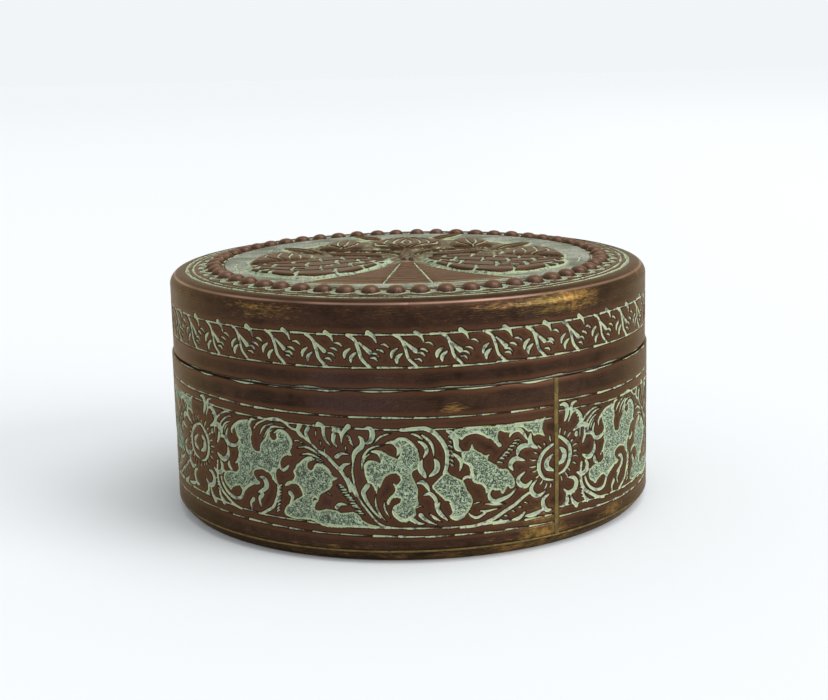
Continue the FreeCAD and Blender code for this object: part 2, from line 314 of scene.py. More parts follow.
# Strokes of a panel as they lie on the front one, grouped as (width, taper, strokes)
panelStrokes = [
    (0.55, "even", [
        [(-12.2, 21.2), (-12.4, 19.5), (-12.1, 17.3), (-11.7, 15.3), (-10.7, 13.1), (-9.3, 11.2), (-7.7, 9.2),
         (-6.3, 8.2), (-4.3, 7.8), (-0.4, 7.5)],
        [(-31.5, 29.2), (-29.3, 29.5), (-27.3, 28.9), (-25.7, 27.8), (-24, 27.3), (-22.9, 26.2), (-21.2, 25),
         (-19.8, 23.7)],
    ]),
    (0.80, "even", [
        [(-19.4, 23.4), (-17.9, 22.6), (-16.2, 20.9), (-14.6, 19.2), (-13.5, 17.3), (-12.9, 15.3)],
        [(-29.4, 15.3), (-29.4, 13.9), (-30, 12), (-30.9, 10.3), (-32.6, 9.2), (-34, 8.4)],
        [(-47.5, 17.6), (-47.8, 15.3), (-47.5, 13.1), (-46.4, 11.4), (-44.4, 10.1), (-42.2, 8.9), (-40, 8.4)],
        [(-46.4, 14.2), (-45.8, 12.8), (-44.4, 11.4), (-42.2, 10.5), (-40, 10.9), (-39, 12.6), (-37.8, 13.7),
         (-36, 14.7)],
        [(9.6, 7.3), (12.9, 7.4), (16.6, 8.4), (19.3, 9.8), (21.6, 10.9), (23.2, 12), (24.7, 12.8)],
    ]),
    (1.05, "even", [
        [(-2.1, 28.3), (-0.4, 28.4), (1.2, 28.5), (2.9, 28.4), (4.6, 27.4), (5.9, 25.9), (6.9, 23.9),
         (7.05, 22.3), (6.9, 20.3), (6.4, 19)],
    ]),
    (1.20, "both", [
        [(-10.9, 27), (-10.2, 26.2), (-10.3, 24.9), (-11.4, 23.9), (-12, 22.8), (-12.2, 21.2)],
        [(-9.5, 28.9), (-8.4, 28.5), (-8.1, 27.3), (-8.6, 26), (-9.6, 25.5)],
        [(4.4, 22), (4.95, 20.9), (4.7, 19.5), (3.3, 18.4)],
        [(1.9, 21.9), (1.5, 20.3), (2.05, 19.2), (2.6, 18.2)],
        [(-34.1, 16.3), (-32.9, 16), (-32.3, 14.8), (-33, 13.7), (-34.8, 12.8)],
        [(7, 27.6), (8.1, 27), (8.9, 25.6), (9.1, 23.9), (10.2, 23.1)],
    ]),
    (0.95, "both", [
        [(-5.3, 25.5), (-4.05, 25.75), (-2.9, 24.9), (-2.7, 23.7), (-3.2, 22.8)],
        [(-8.2, 23.9), (-6.8, 23.7), (-6.1, 22.6), (-6.1, 21.4)],
        [(0.9, 25.9), (2.2, 25.05), (2.75, 23.7), (2.05, 22.3)],
        [(0.8, 17.1), (1.8, 17.4), (2.75, 16.6), (3.4, 15.3)],
        [(2.05, 14.5), (3.4, 14.8), (4.55, 13.4), (4.4, 11.4)],
        [(5.4, 12.8), (5, 11.4), (5.7, 10.1), (7.05, 8.8)],
        [(16.3, 14.8), (15.7, 13.7), (16.1, 12.6), (17.1, 12.1), (18.8, 12.4), (20.4, 13), (21.8, 14.2)],
        [(8.2, 23), (9.3, 22.1), (10, 20.9), (9.6, 19.1)],
        [(20.2, 25.2), (21, 26.3), (22.4, 26.6), (23.5, 25.6), (24.5, 24.1)],
        [(20.7, 7.6), (22.4, 7.8), (23.8, 8.9)], [(23.8, 8.1), (25.4, 8.1), (27.1, 8.4), (28.5, 8.9)],
        [(-30.1, 26.2), (-28.7, 27), (-27.3, 26.7), (-26.2, 25.6), (-25.8, 24.5), (-26.1, 23.4), (-26.8, 22)],
        [(-43.3, 25.6), (-43.9, 23.9), (-43.3, 22.3), (-41.7, 22), (-40, 22.8), (-39.6, 24.5)],
        [(-43.3, 18.4), (-43.3, 17.3), (-42.2, 16.4)],
        [(-3.7, 12.4), (-4.1, 11.2), (-3.6, 10.1), (-2.5, 9.4), (-1.4, 9.4)],
        [(7.6, 9.8), (8.6, 9.4), (9.9, 9.6), (10.8, 10.4)],
    ]),
    (0.75, "both", [
        [(-28.6, 20.3), (-28.7, 19.2), (-27.9, 18.4), (-26.8, 19.2), (-26.5, 19.8)],
        [(-41.8, 24.5), (-41.9, 25.6), (-40.8, 26.7), (-38.9, 27.8), (-36.9, 27.8)],
        [(-39.9, 20.9), (-40.3, 19.2), (-41.5, 18.1)], [(-46, 17.6), (-45.7, 15.9), (-44.7, 15.6)],
        [(-34.6, 28.5), (-35.9, 28.4), (-36.5, 27), (-35.9, 25.9)],
        [(11, 10.3), (11.8, 9.4), (12.9, 8.95), (14.3, 9.5), (14.9, 9.9)],
        [(10.2, 17), (10.7, 17.7), (11.8, 17.7), (12.7, 17)],
        [(10.7, 20.7), (11.8, 20.2), (12.1, 18.9), (12.5, 17.5)],
        [(10, 25.7), (11, 26.6), (12.9, 27), (14.6, 26.4), (16, 25.3)],
        [(-24.6, 19.6), (-23.4, 20.8), (-21.6, 21.8), (-20.6, 21.3)],
        [(-20.9, 19.9), (-20, 20.6), (-18.6, 20.3), (-17.5, 19.4), (-16.9, 18.4)],
        [(-3.8, 26), (-2.6, 26.5), (-1.2, 26.3), (0, 25.2), (0.7, 23.8)],
        [(-9.7, 19.3), (-9.8, 20.8), (-8.9, 21.7), (-7.8, 21.8)], [(-1.9, 9.4), (-0.8, 9.9), (-0.1, 10.8)],
        [(7.5, 12.9), (8.1, 12), (8.1, 11)], [(1.8, 27.4), (3.2, 26.2), (4.1, 24.8), (4.4, 22.7)],
        [(-13.4, 18.4), (-12.4, 15.9), (-11.8, 14.2)], [(-20.9, 11.6), (-20.8, 12.6), (-20, 13)],
    ]),
    (0.52, "both", [
        [(-35.4, 26.3), (-34, 27.8), (-31.5, 28.9)], [(-33.9, 25.5), (-32.6, 27.4), (-30.1, 28.4)],
        [(-33, 25), (-31.5, 27), (-30.1, 27.8), (-27, 27.8)],
        [(-48, 22.8), (-47.8, 25.6), (-46.7, 27.3), (-44.4, 28.7), (-41.7, 29.1)],
        [(-46.8, 22.8), (-46.6, 24.8), (-45.5, 26.4), (-43.5, 27.8), (-41.1, 28.3)],
        [(-45.5, 22.7), (-45.3, 24.8), (-44.2, 26.4), (-42.2, 27.3)],
        [(-24.6, 23.8), (-22.6, 24.1), (-20.9, 23.5), (-19.3, 22.4)],
        [(-24, 22.3), (-22.3, 22.7), (-20.7, 22.4), (-18.7, 21.4)],
        [(-10.4, 20), (-10.3, 21.7), (-9.6, 23.4), (-8.2, 24.6), (-5.7, 25.2)],
        [(-7.7, 25.7), (-6.3, 27.1), (-4.2, 27.8)], [(-0.4, 27.5), (1.2, 26.9), (2.3, 26)],
        [(-7.7, 14.8), (-7.7, 12.8), (-6.8, 10.6), (-5.6, 9.3)], [(-6.1, 13.4), (-6, 11.7), (-5, 9.8)],
        [(3.2, 10.7), (4.3, 9.8), (5.7, 8.8)], [(13.6, 10.6), (15.2, 10.3), (18.2, 10.7)],
        [(14.6, 11.7), (17.1, 11.3), (19.3, 11.2)], [(4.2, 16.3), (5.2, 17.4), (6.5, 18.6)],
        [(13.8, 7.3), (17, 7.6), (20.4, 7.7)],
    ]),
    (0.38, "both", [
        [(-25.1, 24.9), (-24.3, 25.2), (-22.6, 24.6)], [(-21.5, 21.7), (-19.8, 21.3), (-18.3, 20.7)],
        [(-30.9, 25.3), (-31.1, 26.2), (-30.1, 27.1)], [(-20, 27.8), (-20.1, 26.4)],
        [(-19.1, 25.6), (-18.9, 24.4)], [(-18.2, 24.3), (-18.1, 23.3)],
        [(-10, 20.9), (-9.5, 22.6), (-7.9, 23.9)], [(-5.9, 23.7), (-5.1, 22.9)],
        [(0, 25), (0.8, 24.2), (1.1, 23.1)], [(0, 20), (-0.4, 18.8)], [(0.4, 12.8), (2.05, 12.1)],
        [(3.7, 10), (4.8, 9)], [(12, 12), (13.6, 12.3)], [(-13.8, 24.9), (-13.5, 23.7)],
        [(-17.9, 14.9), (-16.6, 14.1)], [(0.3, 11.9), (1.3, 12.2)],
        [(-44.8, 24), (-44.3, 25.6), (-43.2, 26.6)], [(18.2, 14.1), (18.9, 13.4)],
    ]),
    (1.05, "comma", [
        [(-33.7, 12.6), (-34.5, 11.4), (-34.1, 9.9)], [(-36.2, 11.3), (-37, 10.3), (-36.8, 8.9)],
        [(-23.6, 28.4), (-24, 27.4), (-23.3, 26.3), (-22.3, 26)],
        [(-21.5, 28), (-22.1, 27), (-21.5, 25.6), (-20.5, 24.2)],
        [(-19.4, 29.2), (-18.4, 28.7), (-18.3, 27), (-17.6, 25.6), (-16.8, 24.7)],
        [(-16.1, 26.9), (-16.2, 25.6), (-15.4, 24.4)], [(-15.9, 28), (-14.6, 27.6), (-14.3, 25.3)],
        [(-13, 28.9), (-14.1, 27.6), (-14.4, 26.4)], [(-15.6, 22.3), (-14.6, 23), (-12.9, 23)],
        [(-14.7, 20), (-13.9, 20.9), (-12.7, 21.2)], [(-15.9, 11.7), (-15.1, 12.4), (-13.6, 12.3)],
        [(-26.5, 13.9), (-25.9, 13.1), (-26.4, 11.7), (-26.8, 10.9)],
        [(-9.3, 16.6), (-10.2, 15.3), (-10, 14.2), (-9.3, 12.8), (-7.9, 10.9), (-6.8, 9.8)],
        [(1.5, 10.3), (2.6, 9.2), (4.8, 8.1)], [(-0.4, 9.4), (0.7, 8.7), (2.05, 8.4)],
    ]),
]
# Rows of ticks: from, to, how many, their length and their lean in degrees
panelTicks = [
    ((-47.9, 13.4), (-47, 9.9), 6, 1.5, -15), ((-28.7, 15.2), (-29.5, 9.6), 9, 1.4, 35),
    ((-15, 16.4), (-10.9, 10.6), 12, 1.8, -8), ((-13.1, 26.9), (-12.4, 25.2), 4, 1.4, -45),
    ((7.7, 26.3), (8, 20.6), 7, 1.2, -40), ((22.2, 24.3), (18, 20.2), 8, 1.9, -8),
    ((18.1, 8), (24, 10.7), 5, 1.1, -15), ((-46.9, 25.9), (-48.6, 28.6), 5, 1.5, 20),
]
# Outlines of the stippled leaves
panelBlobs = [
    [(-40.8, 26.7), (-38.9, 27.9), (-36.7, 28.3), (-36.5, 27), (-35.8, 25.6), (-36.2, 24.5), (-35.9, 22.8),
     (-35.1, 21.9), (-33.9, 22), (-33.7, 23.1), (-33.2, 24), (-32.3, 24.8), (-31.5, 26.4), (-30.8, 26.9),
     (-31, 25.6), (-30.2, 24.8), (-29.3, 25.2), (-29.3, 26.2), (-28.5, 27), (-27.3, 26.7), (-26.2, 25.6),
     (-25.8, 24.5), (-26.1, 22.8), (-25.7, 21.9), (-26.8, 22), (-27.9, 21.4), (-28.6, 20.3), (-28.7, 19.2),
     (-29.6, 18.4), (-29.8, 17), (-29.4, 15.3), (-30.7, 16.4), (-31.2, 17.3), (-32.3, 17.8), (-33.7, 18.1),
     (-35.4, 17.6), (-35.7, 16.7), (-34.8, 15.6), (-34, 15.1), (-34.8, 14.6), (-35.9, 14.5), (-37.3, 13.9),
     (-38.4, 12.8), (-39.2, 12.6), (-40, 13.4), (-41, 13.4), (-42.4, 12.7), (-43.1, 12), (-43.9, 12.6),
     (-45, 13.4), (-45.3, 14.8), (-44.4, 15.9), (-42.8, 16.3), (-41.1, 16.4), (-40.2, 17.2), (-40.4, 18.7),
     (-39.7, 20.3), (-40.2, 21.6), (-39.6, 22.8), (-40, 23.9), (-40.6, 25.3)],
    [(-24.8, 19.5), (-24.6, 20.2), (-23.6, 20.7), (-22.6, 21.6), (-21.6, 21.9), (-20.9, 21.4), (-21.7, 21),
     (-22.1, 20.2), (-21.7, 19.3), (-20.9, 19.4), (-20.3, 20.3), (-19.3, 20.6), (-18.3, 20.2), (-17.6, 19.5),
     (-16.8, 18.5), (-15.5, 17.8), (-16.6, 17.3), (-16.8, 16.2), (-17.6, 15.3), (-19, 14.5), (-19.6, 13.8),
     (-19.9, 12.7), (-20.5, 13.5), (-21.1, 13.1), (-21.1, 12), (-20.6, 10.9), (-19.6, 10.8), (-18.2, 11.2),
     (-15.9, 11), (-14.8, 10.6), (-12.3, 10.9), (-11, 10), (-10.4, 9.2), (-8.8, 8.4), (-6.8, 8), (-8, 7.5),
     (-11.8, 7.8), (-14.6, 7.5), (-18.6, 7.5), (-21.8, 8.6), (-25.1, 8.4), (-26.5, 8.6), (-27.9, 9.3),
     (-27.6, 10.6), (-26.8, 11.4), (-25.9, 12), (-24, 13.3), (-23.4, 13.9), (-24, 15.3), (-24.8, 15.9),
     (-25.9, 15.9), (-27.6, 15.2), (-27, 16.2), (-25.7, 16.7), (-25.1, 17.8), (-25.5, 18.5)],
    [(-3.8, 26), (-2.7, 26.7), (-1.5, 26.6), (-0.4, 26), (0.3, 25.2), (0.9, 23.9), (1.2, 22.3), (1.3, 21),
     (0.7, 20.2), (-0.1, 19.8), (-0.4, 18.9), (-0.1, 18.1), (0.65, 16.4), (0.8, 15.2), (0.65, 14.2),
     (0.8, 12.8), (0.1, 12), (0.3, 10.6), (-0.6, 9.8), (-1.6, 9.15), (-2.7, 9.1), (-3.8, 9.9), (-4.3, 11.2),
     (-3.9, 12.5), (-2.9, 13.3), (-2.9, 14.1), (-4.2, 14.2), (-4.9, 13.4), (-5.3, 12.6), (-5.6, 13.4),
     (-4.9, 14.5), (-4.05, 15.3), (-3.8, 16.2), (-4.3, 17.4), (-3.6, 16.9), (-2.9, 17.6), (-2.7, 18.4),
     (-3.4, 19.3), (-4.3, 19.4), (-5.4, 18.9), (-6.1, 18.1), (-6.7, 16.9), (-7, 16.3), (-7.3, 16.9),
     (-7.6, 15.2), (-8.1, 16.2), (-8.6, 17), (-9.3, 17.3), (-9.6, 17.9), (-10, 19.2), (-10, 20.3),
     (-9.6, 21.2), (-8.8, 21.9), (-7.7, 21.9), (-6.8, 21.5), (-6.3, 22.3), (-6.6, 23.2), (-7.5, 23.8),
     (-6.6, 24.1), (-5.8, 23.6), (-4.9, 23.1), (-3.8, 22.6), (-3.2, 22.4), (-2.7, 23.2), (-2.6, 24.2),
     (-2.9, 25.1)],
    [(6.9, 19.5), (5.9, 18.5), (4.8, 17.4), (3.9, 16.3), (4.55, 15.3), (5.7, 14.2), (6.6, 13.2), (7.3, 13.1),
     (7.9, 12.2), (8.2, 11.3), (7.8, 10.4), (7.3, 9.8), (8.2, 9.1), (9.3, 8.9), (10.4, 9.5), (11.1, 10.3),
     (11.8, 11.4), (12.3, 12.6), (12, 13.7), (11.3, 14.8), (10.7, 16.2), (10.4, 17), (9.6, 17.6), (8.5, 18.1),
     (7.4, 18.9)],
    [(10.2, 23.1), (11.6, 23.2), (12, 23.7), (12.4, 24.6), (12.8, 23.5), (14.1, 22.6), (15.2, 21.9),
     (16, 22.1), (15.6, 21), (16.6, 20.2), (17.6, 19.5), (18.2, 18.8), (19.9, 18.5), (20.4, 17.8),
     (21.1, 16.9), (21.6, 15.6), (21.3, 14.5), (20.5, 14.3), (19.9, 14.9), (18.9, 13.4), (18.2, 14.2),
     (17.1, 14.4), (16.3, 14.5), (15.2, 13.9), (14.9, 15.1), (14.1, 15.9), (12.7, 16.4), (12.2, 17.3),
     (11.7, 18.1), (12.1, 18.9), (11.7, 20.1), (10.4, 20.9), (10.2, 22)],
    [(8.6, 27.8), (14.3, 28), (19.3, 27.8), (22.4, 28), (27.1, 27.8), (28.2, 28.1), (29, 28.4), (28.4, 27.4),
     (28.1, 26.2), (28.4, 25.2), (28.8, 24.2), (27.4, 24.9), (26, 24.9), (25.4, 25.8), (24.6, 25.9),
     (23.4, 26.9), (21.8, 27.1), (20.6, 26.3), (19.6, 26.3), (18.3, 26.8), (17.8, 25.9), (17.9, 24.8),
     (18.7, 23.7), (17.9, 23.5), (17.1, 24.5), (16.3, 25.3), (15.4, 25.6), (14.3, 26.5), (12.9, 27),
     (11.4, 26.7), (10, 25.7)],
]

# Strokes of a rosette about its middle: two crescents in a ring, and petals that open towards the middle
rosetteStrokes = [
    (0.95, "both", [
        [(0.4, 4.1), (-1.3, 3.7), (-3.3, 2.3), (-4.2, 0.4), (-4, -1.6), (-2.7, -3.1), (-0.3, -3.8)],
        [(-0.4, 4.2), (0.9, 4.0), (2.4, 3), (3.7, 1.6), (4, -0.4), (3.4, -2.3), (2.1, -3.6), (0.2, -4.2)],
    ]),
    (1.25, "both", [
        [(-0.8, 1.6), (-2.3, 0.4), (-2.2, -1), (-0.5, -1.9)],
        [(1.1, 1.7), (2.3, 0.5), (2.1, -1.1), (0.5, -1.9)],
    ]),
    (1.15, "both", [
        [(1.2, 10.6), (2.5, 10.6), (3.3, 9.5), (3, 8), (2.5, 7)],
        [(4.5, 8.5), (5.9, 8.7), (7.2, 7.4), (7.2, 6), (6.1, 5.1), (5, 4.6)],
        [(6.2, 4.9), (7.9, 5.3), (9.4, 4.6), (9.1, 3.8)],
        [(11.4, 1), (11.4, -0.6), (10.1, -1.9), (8.7, -1.7), (7.5, -1)],
        [(8.4, -2.4), (9.1, -3.4), (8.7, -4.8), (7.2, -5.2), (5.8, -4.5)],
        [(3.6, -5.4), (5.1, -5.8), (5.8, -7), (5.1, -8.4), (3.4, -8.7), (2.2, -7.7)],
        [(3, -9), (3.2, -10.4), (1.6, -11.3)], [(-6.1, 7), (-6.3, 5.6), (-5.8, 4.5), (-4.5, 3.7)],
        [(-9.4, 3), (-9, 4.2), (-7.7, 4.8), (-6.3, 4.4)],
        [(-10.5, -0.1), (-11.1, 1.2), (-9.9, 2.3), (-7.7, 1.6)],
        [(-7.6, -0.9), (-9.1, -2.2), (-8.6, -3.5), (-7.2, -4), (-5.9, -3)],
        [(-4.8, -3), (-6.1, -4.4), (-5.8, -5.8), (-4.4, -6.5), (-2.7, -5.8)],
        [(-1.9, -6.5), (-3.3, -7.3), (-3.3, -8.8), (-2.4, -9.9), (-1.3, -9.9)], [(5.8, 4), (5.9, 3.4)],
    ]),
    (0.85, "both", [
        [(6.1, 10.7), (4.8, 10.3), (4.4, 9.4), (4.5, 8.5), (3.6, 6.6)], [(8.4, 4.4), (8.4, 3), (7.6, 1.3)],
        [(8.4, 3.1), (10.4, 3), (11.6, 1.3)],
    ]),
    (1.15, "rising", [[(4.1, -9.4), (4.6, -10.6), (5.8, -11.9)], [(7.6, -9.4), (8.2, -10.6), (9.1, -11.5)]]),
]


def wallDrift(x):
    # how far the hand-set lines stray from their level along the strip: straight runs between chosen shares
    length = fullTurn * boxRadius - 2 * seamHalf
    return np.interp(x / length, wallBand["driftShares"], wallBand["drifts"])


def chiselLine(sheet, start, end, height, drift, draw):
    # a line of long tapered dashes, each set down a little off the last
    x = start
    while x < end:
        length = wallBand["dash"] * draw.uniform(0.7, 1.25)
        ends = np.array([x, min(x + length, end)])
        z = height + drift(ends) + draw.normal(0, 0.05, 2)
        width = wallBand["dashWidth"] * draw.uniform(0.8, 1.2)
        chase(sheet, np.stack([ends, z], axis=1), width, "dash", steps=3)
        x += length + draw.uniform(-0.15, 0.3)


def rosette(sheet, x, draw):
    # its strokes, and short rays around the ring, each ray a little bowed
    middle = np.array([x, wallBand["rosetteHeight"] + wallBand["panelDrift"] * wallDrift(x)])
    for k in range(wallBand["rays"]):
        angle = fullTurn * (k + draw.uniform(-0.2, 0.2)) / wallBand["rays"]
        aim = np.array([math.cos(angle), math.sin(angle) * 0.95])
        bend = np.array([-aim[1], aim[0]]) * 0.15
        near, far = aim * wallBand["rayFrom"], aim * wallBand["rayTo"] * draw.uniform(0.92, 1.1)
        chase(sheet, middle + [near, (near + far) / 2 + bend, far], wallBand["rayWidth"], "both")
    for width, taper, strokes in rosetteStrokes:
        for stroke in strokes:
            chase(sheet, middle + stroke + draw.normal(0, 0.06, 2), width * draw.uniform(0.9, 1.1), taper)


def scrollPanel(sheet, place, frontPlace, draw):
    # the scrolls of one panel, moved to its place along the strip; each stroke is set down a little off
    def lay(stroke, slip):
        # moved along the strip, and up or down with the lines of the frame there
        spots = np.asarray(stroke, float) + (place, 0)
        strayed = wallDrift(spots[:, 0]) - wallDrift(spots[:, 0] - place + frontPlace)
        spots[:, 1] += wallBand["panelDrift"] * strayed
        return spots + slip
    for outline in panelBlobs:
        fillBlob(sheet, lay(outline, draw.normal(0, wallBand["wander"], 2)))
    for width, taper, strokes in panelStrokes:
        for stroke in strokes:
            slip = draw.normal(0, wallBand["wander"], 2) if len(stroke) < 6 else 0
            chase(sheet, lay(stroke, slip), width * draw.uniform(0.88, 1.08), taper)
    for start, end, count, length, lean in panelTicks:
        for stroke in ticks(start, end, count, length * draw.uniform(0.9, 1.1), lean):
            chase(sheet, lay(stroke, draw.normal(0, 0.05, 2)), wallBand["tickWidth"], "both", steps=3)


def rolledStrip(names, size, sheet, rows, fine, body, node, spots):
    # a strip bent round the axis from one side of its seam to the other: the angle is the way along the strip
    # over the radius. Its equal lengths meet face to face. The outer rows come first, then the inner side
    columns, outer = len(sheet["x"]), slice(0, len(rows))
    middle = (size["top"] + size["foot"]) / 2
    z = np.concatenate([rows, [size["top"], size["top"], middle, size["foot"], size["foot"]]])
    surface = np.full((len(rows), columns), size["radius"] - size["inset"])
    surface -= edgeInset(rows, size["foot"], size["bevelTop"])[:, None]
    surface -= size["dent"] * abs(smoothNoise(sheet["x"][None, :], rows[:, None], *size["dentNoise"]))
    surface[fine] -= chasedDepth(sheet, *size["depths"])
    radius = np.full((len(z), columns), size["radius"] - size["sheet"])
    radius[outer] = surface
    radius[[len(rows), -1]] = size["radius"] - size["sheet"] / 2
    angles = (sheet["x"] + size["start"]) / size["radius"]
    points = np.stack([radius * np.sin(angles), -radius * np.cos(angles), z[:, None] + 0 * radius], axis=-1)

    values = plainFields(radius.shape, "line", "blob", "gold", "inside")
    values["line"][fine], values["blob"][fine] = sheet["line"], sheet["blob"]
    creep = smoothNoise(sheet["x"][None, :], 0 * rows[:, None], *gapGreen["noise"])
    creep = abs(rows[:, None] - size["greenEdge"]) - gapGreen["width"] - gapGreen["sway"] * creep
    values["line"][outer] = np.minimum(values["line"][outer], creep)
    around = (sheet["x"] + size["start"]) % (fullTurn * size["radius"])
    values["gold"][outer] = goldSpots(around[None, :], rows[:, None], size["radius"], spots)
    values["inside"][len(rows) + 1:-1] = 1

    bounds = np.linspace(0, columns - 1, len(names) + 1).astype(int)
    for name, first, last in zip(names, bounds[:-1], bounds[1:]):
        count, cut = last - first + 1, np.s_[:, first:last + 1]
        loop = np.arange(len(z)) * count
        faces = (gridQuads(len(z), count, True, False), [loop[::-1].tolist(), (loop + count - 1).tolist()])
        share = {key: field[cut] for key, field in values.items()}
        closedPiece(name, points[cut].reshape(-1, 3), faces, share, copper, body, [node])


def goldSpots(around, height, radius, spots):
    # soft oval patches where the metal is rubbed bright, from (x, z, half length, half height, strength)
    total = 0
    for x, z, length, rise, strength in spots:
        turn = fullTurn * radius
        gap = (around - x + turn / 2) % turn - turn / 2
        total = total + strength * np.exp(-((gap / length) ** 2 + ((height - z) / rise) ** 2))
    return np.clip(total, 0, 1.5)


def stripRows(size):
    # heights across a strip: close together over the ornament, wider on the plain parts, eased at both edges
    low, high, step = size["foot"], size["top"], size["plainStep"]
    fineLow, fineHigh, fineStep = size["fine"]
    edge = np.array([0, 0.1, 0.25])
    below = np.arange(low + 0.6, fineLow - step / 2, step)
    fine = np.arange(fineLow, fineHigh, fineStep)
    above = np.arange(fineHigh + step / 2, high - 0.5, step)
    rows = np.concatenate([low + edge, below, fine, above, high - edge[::-1]])
    start = len(edge) + len(below)
    return rows, slice(start, start + len(fine))


def edgeInset(rows, low, high):
    # how far the outer face draws in at its two edges, as a worn sheet edge does
    gap = np.minimum(rows - low, high - rows)
    return 0.16 * np.clip(1 - gap / 0.25, 0, 1) ** 2


def easeIn(share):
    # 0 to 1 with level ends: 3 share squared, less 2 share cubed
    share = np.clip(share, 0, 1)
    return share * share * (3 - 2 * share)


def chasedDepth(sheet, lineDepth, blobDepth):
    # how deep the tools went: grooves with sloping sides, and shallower stippled areas
    groove, area = easeIn((0.12 - sheet["line"]) / 0.35), easeIn((0.1 - sheet["blob"]) / 0.5)
    return np.maximum(lineDepth * groove, blobDepth * area)


# Finishes

def feed(tree, socket, value):
    # a socket's own number or colour, or a link from another node
    if isinstance(value, (int, float)):
        socket.default_value = value
    elif isinstance(value, tuple):
        socket.default_value = (*value, 1)
    else:
        tree.links.new(value, socket)


def calc(tree, operation, *values):
    # one Math node, fed with numbers or other nodes' outputs
    node = tree.nodes.new("ShaderNodeMath")
    node.operation = operation
    for socket, value in zip(node.inputs, values):
        feed(tree, socket, value)
    return node.outputs[0]


def fade(tree, value, low, high):
    # a smooth step from 0 at low to 1 at high
    node = tree.nodes.new("ShaderNodeMapRange")
    node.interpolation_type = "SMOOTHSTEP"
    tree.links.new(value, node.inputs["Value"])
    node.inputs["From Min"].default_value = low
    node.inputs["From Max"].default_value = high
    return node.outputs[0]


def blendColour(tree, share, first, second):
    # one colour passing to another: first + share * (second - first)
    node = tree.nodes.new("ShaderNodeMix")
    node.data_type = "RGBA"
    for k, value in ((0, share), (6, first), (7, second)):
        feed(tree, node.inputs[k], value)
    return node.outputs[2]


def blendValue(tree, share, first, second):
    # one number passing to another in the same way
    node = tree.nodes.new("ShaderNodeMix")
    for k, value in ((0, share), (2, first), (3, second)):
        feed(tree, node.inputs[k], value)
    return node.outputs[0]


def grain(tree, perMm, detail=2, roughness=0.5, stretch=(1, 1, 1), distortion=0, shift=0):
    # noise that is fixed to the piece, with its scale in features to the millimetre
    place = tree.nodes.new("ShaderNodeTexCoord")
    mapping = tree.nodes.new("ShaderNodeMapping")
    mapping.inputs["Scale"].default_value = [perMm / mm * k for k in stretch]
    mapping.inputs["Location"].default_value = (shift, shift, shift)
    noise = tree.nodes.new("ShaderNodeTexNoise")
    noise.inputs["Scale"].default_value = 1
    noise.inputs["Detail"].default_value = detail
    noise.inputs["Roughness"].default_value = roughness
    noise.inputs["Distortion"].default_value = distortion
    tree.links.new(place.outputs["Object"], mapping.inputs[0])
    tree.links.new(mapping.outputs[0], noise.inputs["Vector"])
    return noise.outputs["Fac"]


def painted(tree, key):
    # a value painted on the vertices
    node = tree.nodes.new("ShaderNodeAttribute")
    node.attribute_name = key
    return node.outputs["Fac"]


def newFinish(name, slotName):
    # an empty material with its shader
    material = bpy.data.materials.new(name)
    material.use_nodes = True
    return {"material": material, "slot": slotName, "tree": material.node_tree,
            "shader": material.node_tree.nodes["Principled BSDF"]}


def connect(look, colour, metallic, roughness, height, bumpDepth):
    # sends the colour, the metal and the fine relief to the shader
    tree, shader = look["tree"], look["shader"]
    tree.links.new(colour, shader.inputs["Base Color"])
    feed(tree, shader.inputs["Metallic"], metallic)
    feed(tree, shader.inputs["Roughness"], roughness)
    bump = tree.nodes.new("ShaderNodeBump")
    bump.inputs["Strength"].default_value = 1
    bump.inputs["Distance"].default_value = bumpDepth * mm
    tree.links.new(height, bump.inputs["Height"])
    tree.links.new(bump.outputs[0], shader.inputs["Normal"])


copperColours = {
    "dark": (0.019, 0.0105, 0.0075), "brown": (0.050, 0.026, 0.0165), "chestnut": (0.105, 0.045, 0.022),
    "purple": (0.062, 0.034, 0.031), "gold": (0.360, 0.195, 0.055), "olive": (0.125, 0.088, 0.026),
    # the pale pink-brown is the colour of rubbed copper and also of the painted sheen and highlight
    "rubAndSheen": (0.520, 0.310, 0.225), "tin": (0.330, 0.310, 0.270), "ground": (0.150, 0.170, 0.115),
    "patina": (0.355, 0.465, 0.310), "patinaGrey": (0.560, 0.580, 0.480),
    "patinaYellow": (0.480, 0.560, 0.300), "patinaDeep": (0.270, 0.360, 0.255),
    "patinaDark": (0.060, 0.085, 0.058), "pit": (0.028, 0.045, 0.032),
}
copperFinish = {
    "metal": 0.88, "rough": 0.26, "roughSpread": 0.24, "polish": 0.12, "tint": (0.95, 0.78, 0.58, 1),
    "patinaMetal": 0.05, "patinaRough": 0.82,
    "relief": 0.07, "grain": 0.22, "brushing": 0.38, "pits": 1.8, "groove": 2.6,
}


